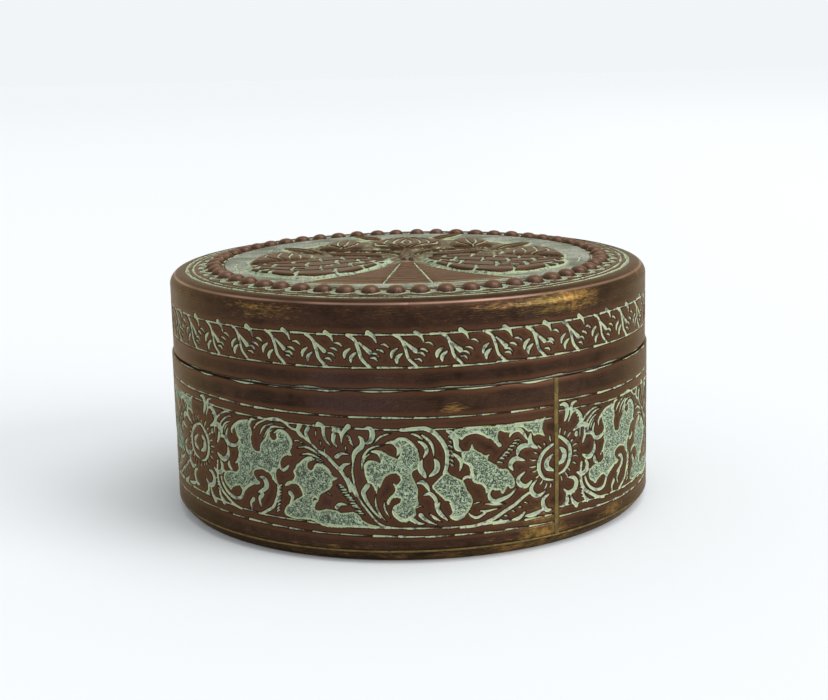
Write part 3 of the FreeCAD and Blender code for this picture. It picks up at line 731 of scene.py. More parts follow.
def chasedCopper():
    # dark copper; the patina lies in the chased lines and stippled areas, and rubbed places show gold
    look = newFinish("chasedCopper", "chased_copper")
    tree, c, finish = look["tree"], copperColours, copperFinish

    def add(first, second):
        return calc(tree, "ADD", first, second)

    def times(first, second):
        return calc(tree, "MULTIPLY", first, second)

    def outside(share, cover):
        # a share that ends where the cover begins
        return times(share, calc(tree, "SUBTRACT", 1.0, cover))

    def swing(value, amount):
        # a noise value moved to swing about zero
        return times(calc(tree, "SUBTRACT", value, 0.5), amount)

    def tint(colour, value, low, high, share, tone):
        # a tone laid over the colour, more as the value passes from low to high
        return blendColour(tree, times(fade(tree, value, low, high), share), colour, c[tone])

    cloud = grain(tree, 0.11, detail=5, roughness=0.6, distortion=0.6)
    wide = grain(tree, 0.035, detail=3, shift=7)
    speck = grain(tree, 2.4, detail=3, roughness=0.65)
    thin = grain(tree, 0.9, detail=3, roughness=0.6, shift=11)
    brushed = grain(tree, 0.8, detail=4, roughness=0.7, stretch=(0.7, 0.7, 8), shift=3)
    rubAndSheen, inside = painted(tree, "rubAndSheen"), painted(tree, "inside")

    # the bare metal: brown and purple clouds with brushed and dark specks
    colour = tint(c["dark"], cloud, 0.30, 0.62, 1.0, "brown")
    colour = tint(colour, wide, 0.50, 0.64, 0.75, "purple")
    colour = tint(colour, brushed, 0.45, 0.70, 0.40, "chestnut")
    colour = tint(colour, speck, 0.55, 0.35, 0.35, "dark")
    # rubbed copper and painted sheen and highlight: a lighter pink-brown on the bead tops, the bend of the
    # lid's edge and the fan
    colour = blendColour(tree, times(rubAndSheen, 0.8), colour, c["rubAndSheen"])

    # gold where it is rubbed, in streaks along the strip
    gold = add(add(painted(tree, "gold"), swing(cloud, 1.2)), swing(brushed, 3.2))
    goldShare = times(fade(tree, gold, 0.55, 1.5), 0.9)
    goldTone = tint(c["olive"], add(cloud, swing(thin, 0.6)), 0.42, 0.62, 1.0, "gold")
    colour = blendColour(tree, goldShare, colour, goldTone)

    # the metal next to a line: a worn reddish edge, then painted shade, a dark line at the lip of the groove
    line = add(painted(tree, "line"), swing(speck, 0.14))
    near = calc(tree, "MINIMUM", line, add(painted(tree, "blob"), swing(speck, 0.14)))
    colour = tint(colour, near, 1.6, 0.3, 0.62, "chestnut")
    colour = tint(colour, near, 0.24, 0.06, 0.85, "dark")

    # patina in the lines: pale at the sides and deeper green in the middle, with darker spots
    green = tint(c["patinaGrey"], thin, 0.40, 0.60, 1.0, "patinaYellow")
    green = tint(green, wide, 0.42, 0.58, 0.5, "patina")
    green = tint(green, line, -0.16, -0.40, 0.75, "patinaDeep")
    green = tint(green, thin, 0.50, 0.34, 0.85, "patinaDark")
    lineShare = fade(tree, line, -0.01, -0.09)

    # stippled areas: a plain lip, then worm-like pits
    blob = add(painted(tree, "blob"), swing(speck, 0.5))
    blobShare, inner = fade(tree, blob, 0.06, -0.06), fade(tree, blob, -0.10, -0.55)
    worm = grain(tree, 1.3, detail=1.5, roughness=0.5, distortion=1.6, shift=5)
    pits = fade(tree, calc(tree, "ABSOLUTE", calc(tree, "SUBTRACT", worm, 0.5)), 0.090, 0.040)
    pitShare = outside(times(pits, inner), lineShare)
    lip = tint(c["patinaYellow"], thin, 0.40, 0.60, 1.0, "patina")
    field = tint(c["patina"], speck, 0.48, 0.80, 1.0, "patinaGrey")
    stipple = blendColour(tree, inner, lip, field)
    stipple = blendColour(tree, times(pitShare, 0.94), stipple, c["pit"])
    colour = blendColour(tree, blobShare, colour, stipple)
    colour = blendColour(tree, lineShare, colour, green)

    # matte ground of the medallion
    ground = add(painted(tree, "ground"), swing(thin, 0.6))
    groundShare = fade(tree, ground, -0.1, 0.15)
    matte = tint(c["ground"], cloud, 0.30, 0.75, 1.0, "patinaGrey")
    matte = tint(matte, speck, 0.60, 0.36, 0.7, "patinaDark")
    matte = tint(matte, ground, 0.9, 0.35, 0.75, "patinaYellow")
    colour = blendColour(tree, outside(groundShare, lineShare), colour, matte)

    # the tinned inner side
    tin = tint(c["tin"], cloud, 0.52, 0.75, 1.0, "brown")
    colour = blendColour(tree, inside, colour, tin)

    # the patina is matte, the metal smoother where it is rubbed or carries painted sheen, and the relief
    # follows pits and lines
    covered = calc(tree, "MAXIMUM", calc(tree, "MAXIMUM", lineShare, blobShare), groundShare)
    covered = outside(covered, inside)
    metallic = blendValue(tree, covered, finish["metal"], finish["patinaMetal"])
    rough = add(finish["rough"], times(cloud, finish["roughSpread"]))
    polished = times(calc(tree, "MAXIMUM", rubAndSheen, goldShare), finish["polish"])
    roughness = blendValue(tree, covered, calc(tree, "SUBTRACT", rough, polished), finish["patinaRough"])
    height = add(times(speck, finish["grain"]), times(brushed, finish["brushing"]))
    height = calc(tree, "SUBTRACT", height, times(times(pitShare, blobShare), finish["pits"]))
    height = add(height, times(fade(tree, near, -0.16, 0.12), finish["groove"]))
    connect(look, colour, metallic, roughness, height, finish["relief"])
    look["shader"].inputs["Specular Tint"].default_value = finish["tint"]
    return look


def plainMetal(name, slotName, tones, rough, depth, perMm=0.12):
    # a metal sheet that has dulled: three tones in clouds, fine grain, and darker specks
    look = newFinish(name, slotName)
    tree = look["tree"]
    cloud = grain(tree, perMm, detail=5, roughness=0.62, distortion=0.5)
    patch = grain(tree, perMm * 2.3, detail=4, roughness=0.6, shift=4)
    speck = grain(tree, 2.6, detail=3, roughness=0.6)
    brushed = grain(tree, 0.6, detail=3, stretch=(1, 1, 7), shift=2)
    colour = blendColour(tree, fade(tree, cloud, 0.34, 0.62), tones[0], tones[1])
    colour = blendColour(tree, fade(tree, patch, 0.58, 0.74), colour, tones[2])
    colour = blendColour(tree, calc(tree, "MULTIPLY", fade(tree, speck, 0.42, 0.28), 0.5), colour, tones[3])
    roughness = calc(tree, "ADD", rough, calc(tree, "MULTIPLY", patch, 0.25))
    height = calc(tree, "ADD", calc(tree, "MULTIPLY", speck, 0.4), calc(tree, "MULTIPLY", brushed, 0.6))
    connect(look, colour, 0.85, roughness, height, depth)
    return look


copper = chasedCopper()
tinned = plainMetal("tinnedCopper", "tinned_copper", [
    (0.26, 0.25, 0.225), (0.42, 0.40, 0.36), (0.22, 0.13, 0.085), (0.10, 0.095, 0.08),
], 0.30, 0.05)
brass = plainMetal("turnedBrass", "turned_brass", [
    (0.20, 0.125, 0.040), (0.42, 0.27, 0.085), (0.14, 0.075, 0.03), (0.06, 0.045, 0.02),
], 0.22, 0.03)
braze = plainMetal("brazeBrass", "braze_brass", [
    (0.085, 0.062, 0.020), (0.180, 0.125, 0.040), (0.060, 0.050, 0.022), (0.03, 0.022, 0.012),
], 0.38, 0.09, 0.6)


# Base wall

seamHalf = 0.6
wallSize = {
    "radius": boxRadius, "sheet": 1.2, "foot": level("base_wall", 0), "top": level("base_wall", 1),
    "start": seamPlace("base_seam") * boxRadius + seamHalf, "columns": 1665, "fine": (5.0, 32.4, 0.27),
    "plainStep": 1.0, "inset": 0.06, "bevelTop": level("base_wall", 1), "dent": 0.05, "dentNoise": (21, 3),
    "depths": (0.20, 0.13), "greenEdge": level("base_wall", 1),
}
# The green that creeps out of the gap between lid and base
gapGreen = {"width": 0.12, "sway": 0.50, "noise": (9, 6)}
wallRub = [
    (27.6, 6.4, 5.6, 3.6, 2.4), (50, 5.4, 5, 2.4, 0.9), (9, 32.0, 4, 0.9, 0.9), (8, 33.6, 12, 1.2, 0.35),
    (2, 3.6, 30, 0.8, 0.4), (-20, 3.4, 18, 0.9, 0.4), (45, 3.6, 14, 1.2, 0.6), (-44, 4.2, 10, 1.4, 0.4),
    (60, 33, 16, 2, 0.35), (150, 4.2, 25, 1.5, 0.6), (230, 33, 20, 1.6, 0.4),
]


def baseWall():
    # the wall is finely drawn, so it is made as two halves that meet at the seam and opposite it
    length = fullTurn * boxRadius - 2 * seamHalf
    rows, fine = stripRows(wallSize)
    sheet = newSheet(np.linspace(0, length, wallSize["columns"]), rows[fine])
    draw = np.random.default_rng(5)
    for height, share in wallBand["lines"]:
        chiselLine(sheet, 0.3, length - 0.3, height, lambda x: share * wallDrift(x), draw)
    frontStart = fullTurn * boxRadius - wallSize["start"]
    left, right = wallBand["frontPanel"]
    for k in range(wallBand["panels"]):
        place = right - wallSize["start"] + (right - left) * k
        rosette(sheet, place, draw)
        scrollPanel(sheet, place - left, frontStart, draw)
    rosette(sheet, frontStart + right, draw)
    rolledStrip(["baseWallBack", "baseWallFront"], wallSize, sheet, rows, fine, "base", "base_wall", wallRub)


# Lid wall: a border of slanting strokes with small hatches

lidBand = {"units": 37, "lines": (47.75, 41.0), "first": -3.15}
lidStrokes = [
    (0.78, "even", [[(0, 47.7), (1.5, 46.7), (2.3, 44.8), (2.9, 42.8), (4.5, 41.2)]]),
    (1.05, "rising", [[(2.1, 46.2), (3, 45.3), (4.2, 44.2)]]),
    (1.05, "comma", [[(4.3, 48.2), (5.4, 47.4), (6, 46.1)]]),
    (0.50, "both", [
        [(6.3, 45.9), (7.3, 45.9), (8.3, 45.1)], [(5.2, 44.8), (6.3, 44.6), (7.1, 44)],
        [(4.2, 43.8), (5.5, 43.8), (6.3, 43)], [(4.1, 42.8), (5.2, 42.8), (5.8, 42.1)],
    ]),
    (0.85, "both", [[(-0.65, 43), (-0.5, 44.1), (0.65, 45.1)], [(0.5, 41.9), (0.5, 43), (1.6, 44)]]),
]
lidSize = {
    "radius": lidRadius, "sheet": 0.75, "foot": level("lid_wall", 0), "top": level("lid_wall", 1),
    "start": seamPlace("lid_seam") * lidRadius + seamHalf, "columns": 1700, "fine": (40.2, 49.2, 0.25),
    "plainStep": 0.9, "inset": 0.05, "bevelTop": level("lid_wall", 1) + 1, "dent": 0.05, "dentNoise": (25, 9),
    "depths": (0.20, 0), "greenEdge": level("lid_wall", 0),
}
lidRub = [
    (-33, 50.9, 9, 1.4, 0.7), (-8, 51.2, 9, 1.0, 0.4), (12, 50.6, 10, 1.4, 0.5), (33, 50.8, 13, 1.6, 1.2),
    (-55, 51, 9, 1.2, 0.5), (70, 51, 20, 1.5, 0.5), (130, 51, 26, 1.6, 0.7), (240, 51, 22, 1.5, 0.6),
    (34, 37.3, 6, 0.5, 0.9), (0, 39.2, 30, 0.7, 0.3),
]


def lidWall():
    # the border repeats in equal steps round the lid, each stroke set down a little off
    turn = fullTurn * lidRadius
    length = turn - 2 * seamHalf
    rows, fine = stripRows(lidSize)
    sheet = newSheet(np.linspace(0, length, lidSize["columns"]), rows[fine])
    draw = np.random.default_rng(8)
    for height in lidBand["lines"]:
        chiselLine(sheet, 0.3, length - 0.3, height, lambda x: 0 * x, draw)
    for k in range(lidBand["units"]):
        place = (lidBand["first"] + turn * k / lidBand["units"] - lidSize["start"]) % turn
        for width, taper, strokes in lidStrokes:
            for stroke in strokes:
                slip = draw.normal(0, 0.12, 2) + (place, 0)
                chase(sheet, np.asarray(stroke, float) + slip, width * draw.uniform(0.85, 1.12), taper)
    rolledStrip(["lidWall"], lidSize, sheet, rows, fine, "lid", "lid_wall", lidRub)


# Lid top: a rounded edge, two chased circles, a ring of beads with scallops, and the medallion in the middle

beadRing = {
    "inner": 42.0, "flat": 51.1, "rim": 3.5, "step": 0.25, "columns": 1372,
    "circles": ((50.55, 1.2), (49.1, 0.8), (42.4, 0.8)), "dash": 9, "lineDepth": 0.2,
    "beads": 54, "ring": 44.4, "radius": 1.85, "height": 1.2, "wander": 0.08, "shine": 0.3,
    "fall": 0.6, "sink": 0.1, "sunkTo": 47.2, "scallop": (2.4, 3.1), "scallopWidth": 1.3,
    # the painted highlight on the bend of the edge: its angle and its width in degrees
    "worn": 47, "bendSheenWidth": 4, "wobble": 0.06, "wobbleRows": 17,
}
rimLevel = level("lid_wall", 1) + beadRing["rim"]
ceiling = rimLevel - lidSize["sheet"]
lidSkin = level("lid_top", 1) - 0.02
rimRub = [
    (-33, 52.4, 12, 1.3, 0.9), (-8, 52.3, 9, 1.0, 0.5), (12, 52.3, 10, 1.2, 0.6), (34, 52.6, 14, 1.6, 1.4),
    (-58, 52.5, 9, 1.2, 0.6), (75, 53, 18, 1.6, 0.7), (130, 52.8, 26, 1.6, 0.8), (240, 53, 22, 1.5, 0.7),
]


def lidRing():
    # a section carried round the axis: the flat border with its beads, each a dome of its height times about
    # the root of (1 - distance squared), then the quarter turn of the edge, then the under side
    ring = beadRing
    turn = fullTurn * ring["ring"]
    draw = np.random.default_rng(14)
    flat = np.arange(ring["inner"], ring["flat"], ring["step"])
    sheet = newSheet(np.arange(ring["columns"]) * turn / ring["columns"], flat)
    for radius, width in ring["circles"]:
        x = 0
        while x < turn:
            length = ring["dash"] * draw.uniform(0.8, 1.2)
            first, last = radius + draw.normal(0, 0.07, 2)
            ends = [(x, first), (min(x + length, turn), last)]
            chase(sheet, ends, width * draw.uniform(0.85, 1.15), "dash", steps=3)
            x += length
    bumps = np.zeros(sheet["line"].shape)
    onBead = np.zeros(sheet["line"].shape, bool)
    for k in range(ring["beads"]):
        place = turn * (k + 0.5) / ring["beads"] + draw.normal(0, ring["wander"])
        middle = ring["ring"] + draw.normal(0, ring["wander"])
        size = ring["radius"] * draw.uniform(0.94, 1.04)
        gap = np.hypot(sheet["x"][None, :] - place, flat[:, None] - middle) / size
        dome = np.sqrt(np.clip(1 - gap ** 2, 0, 1)) ** 0.9
        bumps = np.maximum(bumps, ring["height"] * draw.uniform(0.9, 1) * dome)
        onBead |= gap < 1.05
        scallop = crescent((0, 0), 1, 90, 190, 9) * ring["scallop"] + (place, middle)
        chase(sheet, scallop, ring["scallopWidth"] * draw.uniform(0.85, 1.1), "even")
    sheet["line"] = np.where(onBead, farAway, sheet["line"])
    fall = ring["fall"] * (flat - ring["inner"]) / (ring["flat"] - ring["inner"])
    sink = ring["sink"] * np.clip((ring["sunkTo"] - flat) / 0.5, 0, 1) + fall
    top = rimLevel - sink[:, None] + bumps - chasedDepth(sheet, ring["lineDepth"], 0) * (bumps < 0.02)

    bend = np.linspace(90, 0, 21)
    cos, sin = np.cos(np.radians(bend)), np.sin(np.radians(bend))
    edge = np.stack([ring["rim"] * cos, (ring["rim"] - ring["fall"]) * sin], axis=1)
    edge += (ring["flat"] - 0.05, rimLevel - ring["rim"])
    under = np.array([(lidRadius - 0.7, rimLevel - ring["rim"]), (lidRadius - 1.3, rimLevel - 2.5),
                      (ring["flat"] - 0.4, ceiling - 0.6), (ring["inner"], ceiling)])
    radius = np.concatenate([flat, edge[:, 0], under[:, 0]])[:, None] + np.zeros(ring["columns"])
    height = np.concatenate([flat * 0, edge[:, 1], under[:, 1]])[:, None] + np.zeros(ring["columns"])
    height[:len(flat)] = np.minimum(top, lidSkin)
    angles = sheet["x"] / ring["ring"]
    wobble = ring["wobble"] * smoothNoise(radius * np.cos(angles), radius * np.sin(angles), 30, 4)
    bentRows = slice(len(flat), len(flat) + ring["wobbleRows"])
    height[bentRows] += np.minimum(wobble[bentRows], 0)
    points = np.stack([radius * np.sin(angles), -radius * np.cos(angles), height], axis=-1).reshape(-1, 3)

    values = plainFields(radius.shape, "line", "gold", "rubAndSheen", "inside")
    values["line"][:len(flat)] = sheet["line"]
    # the bead tops are lighter towards their peaks: rubbed wear together with painted sheen
    values["rubAndSheen"][:len(flat)] = ring["shine"] * np.clip(bumps, 0, 1)
    edgeRows = slice(len(flat), len(flat) + len(edge))
    values["gold"][edgeRows] = goldSpots(angles[None, :] * lidRadius, edge[:, 1:], lidRadius, rimRub)
    # a painted highlight: the bend of the edge is made lighter in a thin line, more in some places
    worn = np.exp(-((bend - ring["worn"]) / ring["bendSheenWidth"]) ** 2)[:, None]
    patches = smoothNoise(angles[None, :] * lidRadius, 0 * worn, 14, 6)
    values["rubAndSheen"][edgeRows] = worn * (0.75 + 0.5 * patches)
    values["inside"][-3:] = 1
    quads = gridQuads(*radius.shape, True, True)
    closedPiece("lidRing", points, (quads, []), values, copper, "lid", ["lid_top"])


# Medallion: a fan with ripples, two wings of curved courses, leaves, buds and a lotus on a matte ground

medallion = {
    "radius": 42.0, "cells": 300, "drawn": 0.22, "sink": 0.1, "lineWidth": 0.85, "lineDepth": 0.3,
    "fanEdge": [(0, -3.5), (4.4, -12), (8.2, -18), (12, -22.8), (17, -27.4), (23, -32.4)],
    "fanFoot": [(17, -34.6), (9, -36.4), (0, -37)], "fanHeight": 0.12, "fanShine": 0.34, "rippleStep": 1.3,
    "wingUpper": [(-3.3, -5.2), (-8, -2.6), (-14.2, -0.1), (-20, -1.6), (-24.4, -4.6), (-30, -7),
                  (-36, -10.4)],
    "wingLower": [(-3.6, -6.6), (-5.8, -12), (-9, -18.6), (-15, -25.6), (-20, -26.8), (-25, -26),
                  (-33.6, -18.8), (-36, -11.4)],
    "wingHeight": 0.95, "courses": 4, "blocks": 6,
    "studs": [(-31.8, -18.7), (-23.6, -18.6), (-17.5, -13.8), (-10.6, -11.1), (-6.4, -11.8)],
    "studWidth": 1.8, "ropeRadius": 0.8, "ropeHeight": 1.08, "ropeStep": 1.35,
    "stemWidth": 1.2, "stemHeight": 0.5,
    "plainFrom": 31, "plainFade": 6, "roughness": (0.08, 0.14), "border": 1.2,
}
# Raised forms on the left, mirrored to the right: outline, height and the width of the rounded shoulder
medallionForms = [
    ([(-35.6, -6), (-34.6, 5), (-30.1, 10.3), (-25.2, 7), (-22, -1.3), (-28.5, -5.2)], 1.08, 3.4),
    ([(-20.7, 15.2), (-19.1, 24), (-14.3, 28.2), (-10.7, 23.4), (-11, 15.2), (-15.9, 12)], 1.08, 3.0),
    ([(-6, 2.5), (-12, 3.4), (-18.5, 7.4), (-13, 8.6), (-7, 6)], 0.5, 1.6),
    ([(-20.5, 8.5), (-25.5, 13), (-30, 19.5), (-24.5, 17.6), (-20.3, 12.6)], 0.5, 1.6),
    ([(-7.5, 31), (-11, 34), (-13.5, 38.5), (-9, 37), (-6.4, 33.6)], 0.45, 1.4),
]
lotusForm = [(6, 16), (8.6, 23.4), (5, 29), (0, 31.6), (-5, 29), (-8.6, 23.4), (-6, 16), (0, 12.8)]
# Lines on those forms, as (width, strokes)
medallionLines = [
    (0.62, [
        [(-29, -4.4), (-32.6, 0), (-32.6, 5), (-30.6, 9)],
        [(-28, -4.2), (-30, 0.4), (-29.8, 5.4), (-29.6, 9.4)],
        [(-26.6, -3.6), (-27.4, 0.6), (-27, 5.4), (-28.6, 9)],
        [(-24.6, -2.6), (-24.8, 1), (-25.4, 5), (-27.4, 8.2)], [(-15.9, 12.6), (-18.6, 17), (-19.2, 22)],
        [(-15.9, 12.6), (-17, 19), (-16.8, 26)], [(-15.8, 12.6), (-14.8, 19), (-14.2, 27.4)],
        [(-15.6, 12.6), (-12.8, 17), (-11.8, 23)], [(-7, 3.8), (-12, 5.4), (-16.6, 7.2)],
        [(-21.4, 9.6), (-24.6, 14.6), (-28.4, 18.4)], [(-7.4, 32), (-9.8, 35), (-12.4, 37.6)],
        [(0, 13.4), (-2.9, 19), (-2.4, 25), (0, 30.6)], [(-1.4, 13.8), (-5.4, 19), (-5.2, 24), (-3.4, 28.6)],
        [(-3, 14.6), (-7, 19.4), (-7.6, 23.6)], [(0, 17), (-1, 21), (0, 26)],
    ]),
    (0.7, [[(-33.8, -4.6), (-36.2, -3.4), (-36.8, -0.6), (-35.4, 1.2), (-34, 0)]]),
    (0.75, [
        [(-21, 2), (-22.5, 5), (-22, 8)], [(-18.5, 30.5), (-21, 29), (-22.5, 26)],
        [(-23, 22), (-26, 23.5), (-28.5, 22.5)], [(-32, 13), (-33.4, 16), (-32, 19)],
        [(-9, 11), (-7.2, 14), (-8.6, 17)], [(-37.5, -14), (-39, -8), (-38.8, -2)],
        [(-19, -31), (-26, -30), (-32, -26)],
    ]),
]
medallionStems = [[(-0.8, -2.5), (-1.2, 4), (-0.4, 12.6)], [(-1, 4), (-5.5, 9.8), (-11, 11.4), (-15.6, 12)]]


def raiseShape(board, outline, height, shoulder, closed=True):
    # a rounded rise inside an outline, reaching its height one shoulder in from the edge
    path = smoothChain(outline, closed=True, steps=5) if closed else np.asarray(outline, float)
    part = window(board, path, 0.8)
    gap = signedGap(board, part, path)
    rise = height * np.sqrt(np.clip(1 - (1 - np.clip(-gap / shoulder, 0, 1)) ** 2, 0, 1))
    np.maximum(board["height"][part], rise, out=board["height"][part])
    np.minimum(board["ground"][part], gap, out=board["ground"][part])


def raiseWire(board, points, width, height, step):
    # a row of small domes along a smooth curve, close enough to read as a rope or a stem
    length = np.hypot(*np.diff(smoothChain(points), axis=0).T).sum()
    for spot in alongCurve(points, np.linspace(0, 1, max(int(length / step), 2))):
        part = window(board, spot[None], width + 0.3)
        gap = np.hypot(board["x"][part[1]][None, :] - spot[0], board["y"][part[0]][:, None] - spot[1])
        dome = height * np.sqrt(np.clip(1 - (gap / width) ** 2, 0, 1))
        np.maximum(board["height"][part], dome, out=board["height"][part])
        np.minimum(board["ground"][part], gap - width, out=board["ground"][part])


def alongCurve(points, share):
    # places at shares of the length of a smooth curve
    path = smoothChain(points)
    length = np.concatenate([[0], np.cumsum(np.hypot(*np.diff(path, axis=0).T))])
    wanted = np.asarray(share) * length[-1]
    return np.stack([np.interp(wanted, length, path[:, k]) for k in (0, 1)], axis=-1)


def drawFan(board, draw):
    # a flat fan with hollow sides, fine bowed ripples across it and two rays; painted sheen makes the fan
    # lighter between the ripples
    size = medallion
    edge, foot = np.array(size["fanEdge"]), np.array(size["fanFoot"])
    half = np.vstack([edge, foot])
    raiseShape(board, np.vstack([half, (half[1:-1] * (-1, 1))[::-1]]), size["fanHeight"], 0.5, closed=False)
    for y in np.arange(-8, -36, -size["rippleStep"]):
        width = np.interp(-y, -edge[:, 1], edge[:, 0], right=20)
        x = np.linspace(-width, width, 9)
        ripple = np.stack([x, y + x ** 2 / 90 + draw.normal(0, 0.14, 9)], axis=1)
        chase(board, ripple, 0.5, "both")
    board["height"] -= 0.2 * np.clip((0.2 - board["line"]) / 0.4, 0, 1)
    # painted sheen: the fan's face is lighter away from its ripples
    shine = size["fanShine"] * np.clip((board["line"] + 0.1) / 0.4, 0, 1)
    board["rubAndSheen"] = np.where(board["ground"] < 0, shine, 0)
    board["line"][:] = farAway
    for mirror in (-1, 1):
        chase(board, [(1.5 * mirror, -8), (5.2 * mirror, -36.6)], 0.6, "even")
        chase(board, edge[1:] * (mirror, 1), 0.8, "even")


def drawWing(board, mirror, draw):
    # courses between an upper and a lower edge, each cut into blocks, with studs and a rope along the top
    size = medallion
    flip = np.array([mirror, 1])
    upper = alongCurve(size["wingUpper"], np.linspace(0, 1, 25)) * flip
    lower = alongCurve(size["wingLower"], np.linspace(0, 1, 25)) * flip
    raiseShape(board, np.vstack([upper, lower[::-1]]), size["wingHeight"], 1.3, closed=False)
    for share in np.arange(size["courses"] + 1) / size["courses"]:
        course = (1 - share) * upper[::3] + share * lower[::3]
        chase(board, course, size["lineWidth"] * draw.uniform(0.85, 1.2), "even")
    for course in range(size["courses"]):
        for block in range(1, size["blocks"]):
            spot = (block + (0.5 if course % 2 else 0) + draw.uniform(-0.15, 0.15)) / size["blocks"]
            top, foot = alongCurve(upper, [spot])[0], alongCurve(lower, [spot])[0]
            ends = [top + (foot - top) * (course + k) / size["courses"] for k in (0.04, 0.5, 0.96)]
            ends[1] = ends[1] + np.array([-0.45 * mirror, 0])
            if spot < 0.95:
                chase(board, ends, size["lineWidth"] * draw.uniform(0.85, 1.5), "both")
    for spot in size["studs"]:
        middle = np.array(spot) * flip + draw.normal(0, 0.3, 2)
        ends = [middle - (0.55, 0), middle, middle + (0.55, 0.1)]
        chase(board, ends, size["studWidth"] * draw.uniform(0.85, 1.15), "even")
    rope = (upper * 0.94 + lower * 0.06)[1:-1]
    raiseWire(board, rope, size["ropeRadius"], size["ropeHeight"], size["ropeStep"])


def drawMedallion():
    # the drawing board: height over the ground, distance to the raised shapes, and the lines
    size = medallion
    axis = np.arange(-size["radius"] - 0.5, size["radius"] + 0.6, size["drawn"])
    board = newSheet(axis, axis)
    board["height"] = np.zeros(board["line"].shape)
    board["ground"] = np.full(board["line"].shape, farAway)
    draw = np.random.default_rng(31)
    drawFan(board, draw)
    raiseShape(board, lotusForm, 1.0, 2.6)
    for mirror in (1, -1):
        flip = np.array([mirror, 1])
        drawWing(board, mirror, draw)
        for outline, height, shoulder in medallionForms:
            raiseShape(board, np.array(outline) * flip, height, shoulder)
        for stem in medallionStems:
            raiseWire(board, np.array(stem) * flip, size["stemWidth"] / 2, size["stemHeight"], 0.4)
        for width, strokes in medallionLines:
            for stroke in strokes:
                slip = draw.normal(0, 0.12, 2)
                chase(board, np.array(stroke) * flip + slip, width * draw.uniform(0.85, 1.15), "both")
    return board


def sample(board, key, x, y):
    # the board's value between its grid points
    start, step = board["x"][0], board["x"][1] - board["x"][0]
    column, row = (x - start) / step, (y - start) / step
    c, r = np.floor(column).astype(int), np.floor(row).astype(int)
    c, r = np.clip(c, 0, len(board["x"]) - 2), np.clip(r, 0, len(board["y"]) - 2)
    fx, fy = column - c, row - r
    values = board[key]
    return ((values[r, c] * (1 - fx) + values[r, c + 1] * fx) * (1 - fy)
            + (values[r + 1, c] * (1 - fx) + values[r + 1, c + 1] * fx) * fy)


def lidMedallion():
    # a square grid eased onto a disc: the larger of |a| and |b| becomes the radius, and the smaller over the
    # larger, times an eighth of a turn, the angle, so that each square ring becomes a circle
    size = medallion
    board = drawMedallion()
    span = np.linspace(-1, 1, size["cells"] + 1)
    a, b = np.meshgrid(span, span)
    ringShare = np.maximum(abs(a), abs(b))
    sideways = abs(a) > abs(b)
    angle = np.where(sideways, b / np.where(a == 0, 1, a), a / np.where(b == 0, 1, b)) * math.pi / 4
    outward = np.where(sideways, np.sign(a), np.sign(b)) * ringShare
    x = outward * np.where(sideways, np.cos(angle), np.sin(angle)) * size["radius"]
    y = outward * np.where(sideways, np.sin(angle), np.cos(angle)) * size["radius"]
    line, ground = sample(board, "line", x, y), sample(board, "ground", x, y)
    rise = sample(board, "height", x, y)
    groove = easeIn((0.25 - line) / 0.5)
    z = rimLevel - size["sink"] + rise - size["lineDepth"] * groove * (rise > 0.1)
    # the ground is rough and worn between the forms, and plain in the outer part
    away = np.hypot(x, y)
    plain = np.clip((away - size["plainFrom"]) / size["plainFade"], 0, 1)
    low, more = size["roughness"]
    z += (low + more * (1 - plain)) * smoothNoise(x, y, 3.5, 2) * (ground > 0)
    ground = np.where(ground > 0, ground * plain - 0.04 * (1 - plain), ground)
    border = np.clip((size["radius"] - away) / size["border"], 0, 1)
    z = np.minimum(z, lidSkin) * border + (rimLevel - beadRing["sink"]) * (1 - border)
    count = size["cells"] + 1
    index = np.arange(count * count).reshape(count, count)
    edge = np.concatenate([index[0, :-1], index[:-1, -1], index[-1, :0:-1], index[:0:-1, 0]])
    top = np.stack([x, y, z], axis=-1).reshape(-1, 3)
    under = top[edge].copy()
    under[:, 2] = ceiling
    points = np.vstack([top, under])
    lowRing = np.arange(len(edge)) + len(top)
    quads = np.vstack([gridQuads(count, count, False, False),
                       np.stack([np.roll(edge, -1), edge, lowRing, np.roll(lowRing, -1)], axis=1)])

    def withFoot(values, foot):
        # the values of the top, and one value for the ring of points under its edge
        return np.concatenate([values.ravel(), np.full(len(edge), float(foot))])

    attributes = {
        "line": withFoot(line, farAway), "ground": withFoot(ground, 0), "inside": withFoot(0 * line, 1),
        "rubAndSheen": withFoot(sample(board, "rubAndSheen", x, y), 0),
    }
    faces = (quads, [lowRing[::-1].tolist()])
    closedPiece("lidMedallion", points, faces, attributes, copper, "lid", ["lid_top"])


print("chasing the wall")
baseWall()
print("chasing the lid")
lidWall()
lidRing()
lidMedallion()


# Seams: a bead of brass that fills the slot, with uneven edges and a slightly domed face

